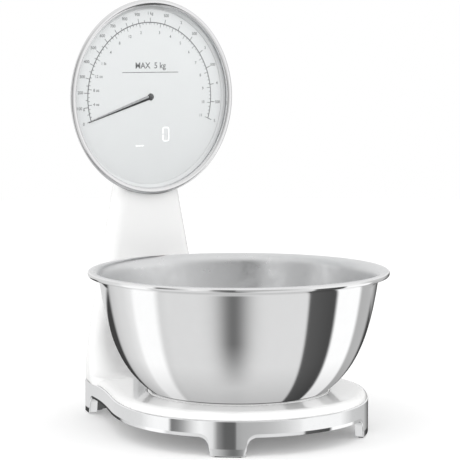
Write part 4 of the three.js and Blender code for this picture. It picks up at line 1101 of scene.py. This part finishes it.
def head_back():
    """Hollow dome behind the dial, with a slot for the column and two round button holes."""
    outer, inner = dome_line(0, 40), dome_line(-HEAD_WALL, 40)
    seat, ledge = DIAL_RADIUS + 0.3, DIAL_RADIUS - 3.2
    inner = inner[inner[:, 0] < ledge - 0.2]
    face = DIAL_Y + 1.8
    inner = inner[inner[:, 1] > face + 0.3]
    back = HEAD_BACK - HEAD_WALL
    profile = [(ledge, face), (seat, face), (seat, outer[0][1]), *outer, (0, HEAD_BACK), (0, back),
               *inner[::-1]]
    turned = revolve(profile, 180, "y", DIAL_CENTRE, closed=True)
    dome = mesh_object("Head_Back", *turned, angle=40)
    drill = [(0, back - 3), (BUTTON_HOLE, back - 3), (BUTTON_HOLE, HEAD_BACK + 3),
             (0, HEAD_BACK + 3)]
    holes = []
    for name in ("tare_button", "unit_button"):
        low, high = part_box(name)
        centre = (low + high) / 2 * 1000
        holes.append(revolve(drill, 48, "y", (centre.x, 0, centre.z)))
    slot = brick((-SLOT_HALF, 139, 180), (SLOT_HALF, 150.2, 233))
    carved(dome, slot, *holes)
    dome.data.polygons.foreach_set("use_smooth", np.ones(len(dome.data.polygons), bool))
    dome.data.set_sharp_from_angle(angle=math.radians(40))
    return dress(dome, "white", stands_for=("head_housing",))


def buttons():
    """Two domed push buttons with a turned groove and a raised mark: a ring and a bar."""
    for name, body in (("tare_button", "tare_push"), ("unit_button", "unit_push")):
        low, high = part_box(name)
        centre = (low + high) / 2 * 1000
        tip, back = (low.y - AXIS_Y) * 1000, (high.y - AXIS_Y) * 1000
        inside = HEAD_BACK - 2.5
        profile = [(0, tip), (1.8, tip), (1.8, inside - 1.2), (6.8, inside - 1.2), (6.8, inside),
                   (5.5, inside), (5.5, back - 0.9), (5.2, back - 0.45), (4.6, back - 0.22),
                   (4.3, back - 0.35), (3.95, back - 0.35), (3.7, back - 0.14), (0, back - 0.02)]
        middle, low_y = (centre.x, 0, centre.z), back - 0.2
        cap = revolve(profile, 72, "y", middle)
        if name == "tare_button":
            line = [(1.2, low_y), (1.7, low_y), (1.7, back), (1.2, back)]
            mark = revolve(line, 40, "y", middle, closed=True)
        else:
            mark = brick((centre.x - 1.8, low_y, centre.z - 0.3),
                         (centre.x + 1.8, back, centre.z + 0.3))
        cap_obj = mesh_object(name.title(), *together(cap, mark), angle=40)
        dress(cap_obj, "chrome", body, (name,))


def screw_shape():
    """Pan-head screw along +Z with its head's face at 0, and a cross cut in the head."""
    dome = [(0, 0), (1.6, 0.06), (2.4, 0.3), (2.8, 0.8), (2.8, 1.6), (1.3, 1.7), (1.3, 6.0),
            (0, 6.4)]
    head = mesh_object("screw", *revolve(dome, 32), angle=40)
    cut_a = brick((-1.7, -0.28, -1), (1.7, 0.28, 1.0))
    cut_b = brick((-0.28, -1.7, -1), (0.28, 1.7, 1.0))
    carved(head, cut_a, cut_b)
    mesh = head.data
    points = np.zeros(len(mesh.vertices) * 3)
    mesh.vertices.foreach_get("co", points)
    points = points.reshape(-1, 3)
    points[:, 1] -= AXIS_Y
    faces = [list(p.vertices) for p in mesh.polygons]
    bpy.data.objects.remove(head)
    return points * 1000, faces


def screws():
    """The screws that show: up into the base, and forward into the column's back."""
    points, faces = screw_shape()
    upward = [f"base_screw_{i}" for i in range(1, 5)]
    upward += [f"{kind}_{i}" for kind in ("spine_screw", "cell_fixed_screw") for i in (1, 2)]
    for name in upward:
        low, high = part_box(name)
        moved = points + (low.x * 1000 + 2.8, (low.y - AXIS_Y) * 1000 + 2.8, low.z * 1000)
        screw = mesh_object(name.title(), moved, faces, angle=40)
        dress(screw, "screws", stands_for=(name,))
    turned = points[:, [0, 2, 1]] * (1, -1, 1)
    for i in (1, 2):
        name = f"cover_screw_{i}"
        low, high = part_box(name)
        moved = turned + (0, COLUMN_BACK + 0.62, (low.z + high.z) * 500)
        screw = mesh_object(name.title(), moved, faces, angle=40)
        dress(screw, "screws", stands_for=(name,))


def battery_door():
    """Sliding door with a shallow finger recess of seven ribs and rounded edges."""
    low, high = (v * 1000 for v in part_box("battery_door"))
    y0, y1 = low.y - AXIS_Y * 1000, high.y - AXIS_Y * 1000
    z0 = high.z - 2
    slab = brick((low.x, y0, z0), (high.x, y1, high.z))
    panel = bevelled(mesh_object("Battery_Door", *slab), 0.5)
    dress(panel, "underside", "door", ("battery_door",))
    ribs = [brick((-9, y1 - 7 - i * 1.8, z0 - 0.5), (9, y1 - 6.2 - i * 1.8, z0 + 0.1))
            for i in range(7)]
    grip = bevelled(mesh_object("Door_Ribs", *together(*ribs)), 0.15, 2)
    dress(grip, "underside", "door")


def works():
    """Finishes for the CAD nodes that stay as they are: board, cells, springs and brackets."""
    slots = {entry["node"]: entry["material_slot"] for entry in frame["record"]["subparts"]}
    finishes = {"white": "white_inner", "bowl_steel": "steel"}
    for name, obj in frame["nodes"].items():
        if obj.hide_render:
            continue
        finish = finishes.get(slots[name], slots[name])
        obj.data.materials.clear()
        obj.data.materials.append(material(finish))


# ---- Studio ----

FRONT = (-0.6, -0.8, 0.0)
ACROSS = (0.8, -0.6, 0.0)
TO_CAMERA = (-0.597, -0.796, 0.098)


def ramp(tree, fac, stops):
    """A colour ramp of greys read at fac; stops are (degrees from -90 to 90, grey)."""
    made = node(tree, "ShaderNodeValToRGB", {0: fac})
    elements = made.color_ramp.elements
    for i, (degrees, grey) in enumerate(stops):
        place_at = (degrees + 90) / 180
        element = elements[i] if i < 2 else elements.new(place_at)
        element.position = place_at
        element.color = (grey, grey, grey, 1)
    return made.outputs["Color"]


def studio_world():
    """Even white light, and for mirrors a ring of softboxes and black flags.

    A mirror's brightness is read from the direction halfway between the reflected ray and the
    front of the studio, so each softbox stays upright down the side of a bowl."""
    world = bpy.data.worlds.new("Studio")
    bpy.context.scene.world = world
    world.use_nodes = True
    tree = world.node_tree
    tree.nodes.clear()
    ray = node(tree, "ShaderNodeTexCoord").outputs["Generated"]
    half = node(tree, "ShaderNodeVectorMath", {0: ray, 1: TO_CAMERA}, operation="ADD")
    half = node(tree, "ShaderNodeVectorMath", {0: half.outputs[0]}, operation="NORMALIZE")
    half = half.outputs[0]
    front = toward(tree, half, FRONT)
    lift = node(tree, "ShaderNodeSeparateXYZ", {0: half}).outputs["Z"]
    turn = maths(tree, "ARCTAN2", toward(tree, half, ACROSS), front)
    fac = maths(tree, "ADD", maths(tree, "DIVIDE", turn, math.pi), 0.5)
    walls = ramp(tree, fac, [
        (-90, 0.05), (-69, 0.05), (-66, 0.56), (-60, 0.66), (-55, 0.70), (-50, 0.80), (-47.5, 1.0),
        (-37, 1.0), (-34, 0.66), (-30, 0.70), (29, 0.72), (30.3, 0.10), (43.2, 0.065), (44.9, 1.0),
        (58.5, 1.0), (61, 0.44), (71, 0.46), (75, 0.05), (90, 0.05),
    ])
    rings = ramp(tree, fac, [
        (-60, 0.66), (-52, 0.70), (-46, 0.86), (-42, 0.92), (-33.5, 0.92), (-31.5, 0.17),
        (-28, 0.235), (-25, 0.36), (-22, 0.565), (-19.4, 0.75), (-16.7, 0.89), (-11.3, 0.73),
        (-9, 0.25), (-6, 0.11), (-1.5, 0.11), (-0.7, 0.36), (2, 0.41), (10, 0.45), (15, 0.51),
        (20.7, 0.62), (26.5, 0.77), (29.4, 0.89), (50, 0.89), (54.3, 0.72), (59, 0.56), (72, 0.50),
        (80, 0.10),
    ])
    degrees = maths(tree, "MULTIPLY", turn, 180 / math.pi)
    away = maths(tree, "DIVIDE", maths(tree, "ADD", degrees, 2.2), 7.0)
    dip = maths(tree, "EXPONENT", maths(tree, "MULTIPLY", maths(tree, "POWER", away, 2.0), -1.0))
    fade = mapped(tree, lift, -0.64, -0.30, 0.05, 0.78)
    dip = maths(tree, "SUBTRACT", 1.0, maths(tree, "MULTIPLY", dip, fade))
    low = mapped(tree, lift, -0.80, -0.45, 0.72, 1.0)
    low = maths(tree, "MULTIPLY", low, mapped(tree, lift, -0.90, -0.83, 0.12, 1.0))
    walls = maths(tree, "MULTIPLY", maths(tree, "MULTIPLY", walls, dip), low)
    level = mapped(tree, maths(tree, "MULTIPLY", lift, front), -0.068, -0.058)
    tone = blended(tree, level, walls, rings)
    tone = blended(tree, mapped(tree, lift, 0.25, 0.5), tone, (0.80, 0.80, 0.80, 1))
    mirrored = node(tree, "ShaderNodeBackground", {"Color": tone, "Strength": 1.16})
    plain = node(tree, "ShaderNodeBackground", {"Color": (1, 1, 1), "Strength": 1.0})
    fill = mapped(tree, toward(tree, ray, FRONT), -0.9, 0.4, 0.62, 1.3)
    soft = node(tree, "ShaderNodeBackground", {"Color": (1, 1, 1), "Strength": fill})
    rays = node(tree, "ShaderNodeLightPath")
    seen = node(tree, "ShaderNodeMixShader", {
        0: rays.outputs["Is Camera Ray"], 1: soft.outputs[0], 2: plain.outputs[0]})
    mix = node(tree, "ShaderNodeMixShader", {
        0: rays.outputs["Is Glossy Ray"], 1: seen.outputs[0], 2: mirrored.outputs[0]})
    out = node(tree, "ShaderNodeOutputWorld")
    tree.links.new(mix.outputs[0], out.inputs["Surface"])


def studio_floor():
    """Pale round floor that mirrors don't see, and clear when it is seen from below."""
    turn = np.linspace(0, 2 * math.pi, 96, endpoint=False)
    rim = np.column_stack([np.cos(turn) * 2500, np.sin(turn) * 2500, np.full(96, -0.02)])
    floor = mesh_object("Studio_Floor", rim, [list(range(96))])
    floor.data.materials.append(material("floor"))
    floor.visible_glossy = False


def keep_from_mirrors(below):
    """Pieces wholly under a height in metres aren't mirrored, so the bowl shows only the studio."""
    for obj in bpy.context.scene.objects:
        if obj.type == "MESH" and not obj.hide_render:
            top = max((obj.matrix_world @ Vector(corner)).z for corner in obj.bound_box)
            if top < below or obj.name in ("White_Body", "Rear_Cover"):
                obj.visible_glossy = False


def studio_lights():
    """One broad soft light above, so that edges and the ground carry a soft shadow."""
    lamp = bpy.data.lights.new("Top Softbox", "AREA")
    lamp.shape = "RECTANGLE"
    lamp.size, lamp.size_y = 1.6, 1.2
    lamp.energy = 3.0
    holder = bpy.data.objects.new("Top Softbox", lamp)
    holder.location = (-0.5, -0.6, 1.6)
    holder.rotation_euler = (math.radians(25), math.radians(-18), 0)
    holder.visible_glossy = False
    bpy.context.scene.collection.objects.link(holder)


def studio_camera(lens):
    """Camera to the left and slightly above the rim, aimed a little down."""
    data = bpy.data.cameras.new("Camera")
    data.lens = lens
    data.sensor_width = 36
    data.shift_x = -0.0199
    data.clip_start, data.clip_end = 0.05, 20
    camera = bpy.data.objects.new("Camera", data)
    camera.location = (-0.9776, -1.3042 + AXIS_Y, 0.3358)
    camera.rotation_euler = (math.radians(90 - 5.6), 0, math.radians(-36.87))
    bpy.context.scene.collection.objects.link(camera)
    bpy.context.scene.camera = camera


# ---- Add-on ----


class ScaleSettings(bpy.types.PropertyGroup):
    """Mesh fineness and studio settings."""

    skin: bpy.props.FloatProperty(
        name="Skin Size", description="Voxel size of the white body's skin, in millimetres",
        default=1.15, min=0.6, max=3.0)
    turns: bpy.props.IntProperty(
        name="Bowl Sides", description="Number of sides of the turned bowl", default=256, min=48)
    edge: bpy.props.IntProperty(
        name="Skirt Fineness", description="How finely the skirt follows the base's outline",
        default=26, min=4)
    lens: bpy.props.FloatProperty(
        name="Lens", description="Focal length of the studio camera", default=147.8, unit="CAMERA")


class SCALE_OT_body(bpy.types.Operator):
    """Builds the white body, its rear cover and the chrome skirt with its feet."""

    bl_idname = "kitchen_scale.body"
    bl_label = "Body and Skirt"

    def execute(self, context):
        settings = context.scene.kitchen_scale
        white_body(settings.skin)
        rear_cover()
        chrome_skirt(settings.edge)
        foot_pads()
        return {"FINISHED"}


class SCALE_OT_bowl(bpy.types.Operator):
    """Builds the steel bowl and the plate that it stands on."""

    bl_idname = "kitchen_scale.bowl"
    bl_label = "Bowl and Plate"

    def execute(self, context):
        mixing_bowl(context.scene.kitchen_scale.turns)
        weighing_plate()
        return {"FINISHED"}


class SCALE_OT_dial(bpy.types.Operator):
    """Builds the bezel, the glass, the dial with its print, and the needle."""

    bl_idname = "kitchen_scale.dial"
    bl_label = "Dial and Needle"

    def execute(self, context):
        bezel()
        dial_glass()
        dial_wall()
        dial_face()
        dial_print()
        readout()
        needle()
        return {"FINISHED"}


class SCALE_OT_head(bpy.types.Operator):
    """Builds the back of the head and its two push buttons."""

    bl_idname = "kitchen_scale.head"
    bl_label = "Head and Buttons"

    def execute(self, context):
        head_back()
        buttons()
        return {"FINISHED"}


class SCALE_OT_fixings(bpy.types.Operator):
    """Builds the screws and the battery door, and finishes the works inside."""

    bl_idname = "kitchen_scale.fixings"
    bl_label = "Fixings and Works"

    def execute(self, context):
        screws()
        battery_door()
        works()
        return {"FINISHED"}


class SCALE_OT_stage(bpy.types.Operator):
    """Builds the floor, the light and the camera."""

    bl_idname = "kitchen_scale.stage"
    bl_label = "Studio"

    def execute(self, context):
        studio_world()
        studio_floor()
        studio_lights()
        keep_from_mirrors(0.06)
        studio_camera(context.scene.kitchen_scale.lens)
        context.scene.view_settings.view_transform = "Standard"
        return {"FINISHED"}


class SCALE_PT_panel(bpy.types.Panel):
    """Sidebar panel with one button for each group."""

    bl_label = "Kitchen Scale"
    bl_space_type = "VIEW_3D"
    bl_region_type = "UI"
    bl_category = "Kitchen Scale"

    def draw(self, context):
        for key in ("skin", "turns", "edge", "lens"):
            self.layout.prop(context.scene.kitchen_scale, key)
        for operator in OPERATORS:
            self.layout.operator(operator.bl_idname)


OPERATORS = (
    SCALE_OT_body, SCALE_OT_bowl, SCALE_OT_dial, SCALE_OT_head, SCALE_OT_fixings, SCALE_OT_stage)
CLASSES = (ScaleSettings, *OPERATORS, SCALE_PT_panel)


def register():
    """Registers the classes and the scene's settings."""
    for cls in CLASSES:
        bpy.utils.register_class(cls)
    bpy.types.Scene.kitchen_scale = bpy.props.PointerProperty(type=ScaleSettings)


def unregister():
    """Takes away what register added."""
    del bpy.types.Scene.kitchen_scale
    for cls in reversed(CLASSES):
        bpy.utils.unregister_class(cls)


def main():
    """Builds everything in order."""
    register()
    for step in ("body", "bowl", "dial", "head", "fixings", "stage"):
        getattr(bpy.ops.kitchen_scale, step)()


if __name__ == "__main__":
    main()
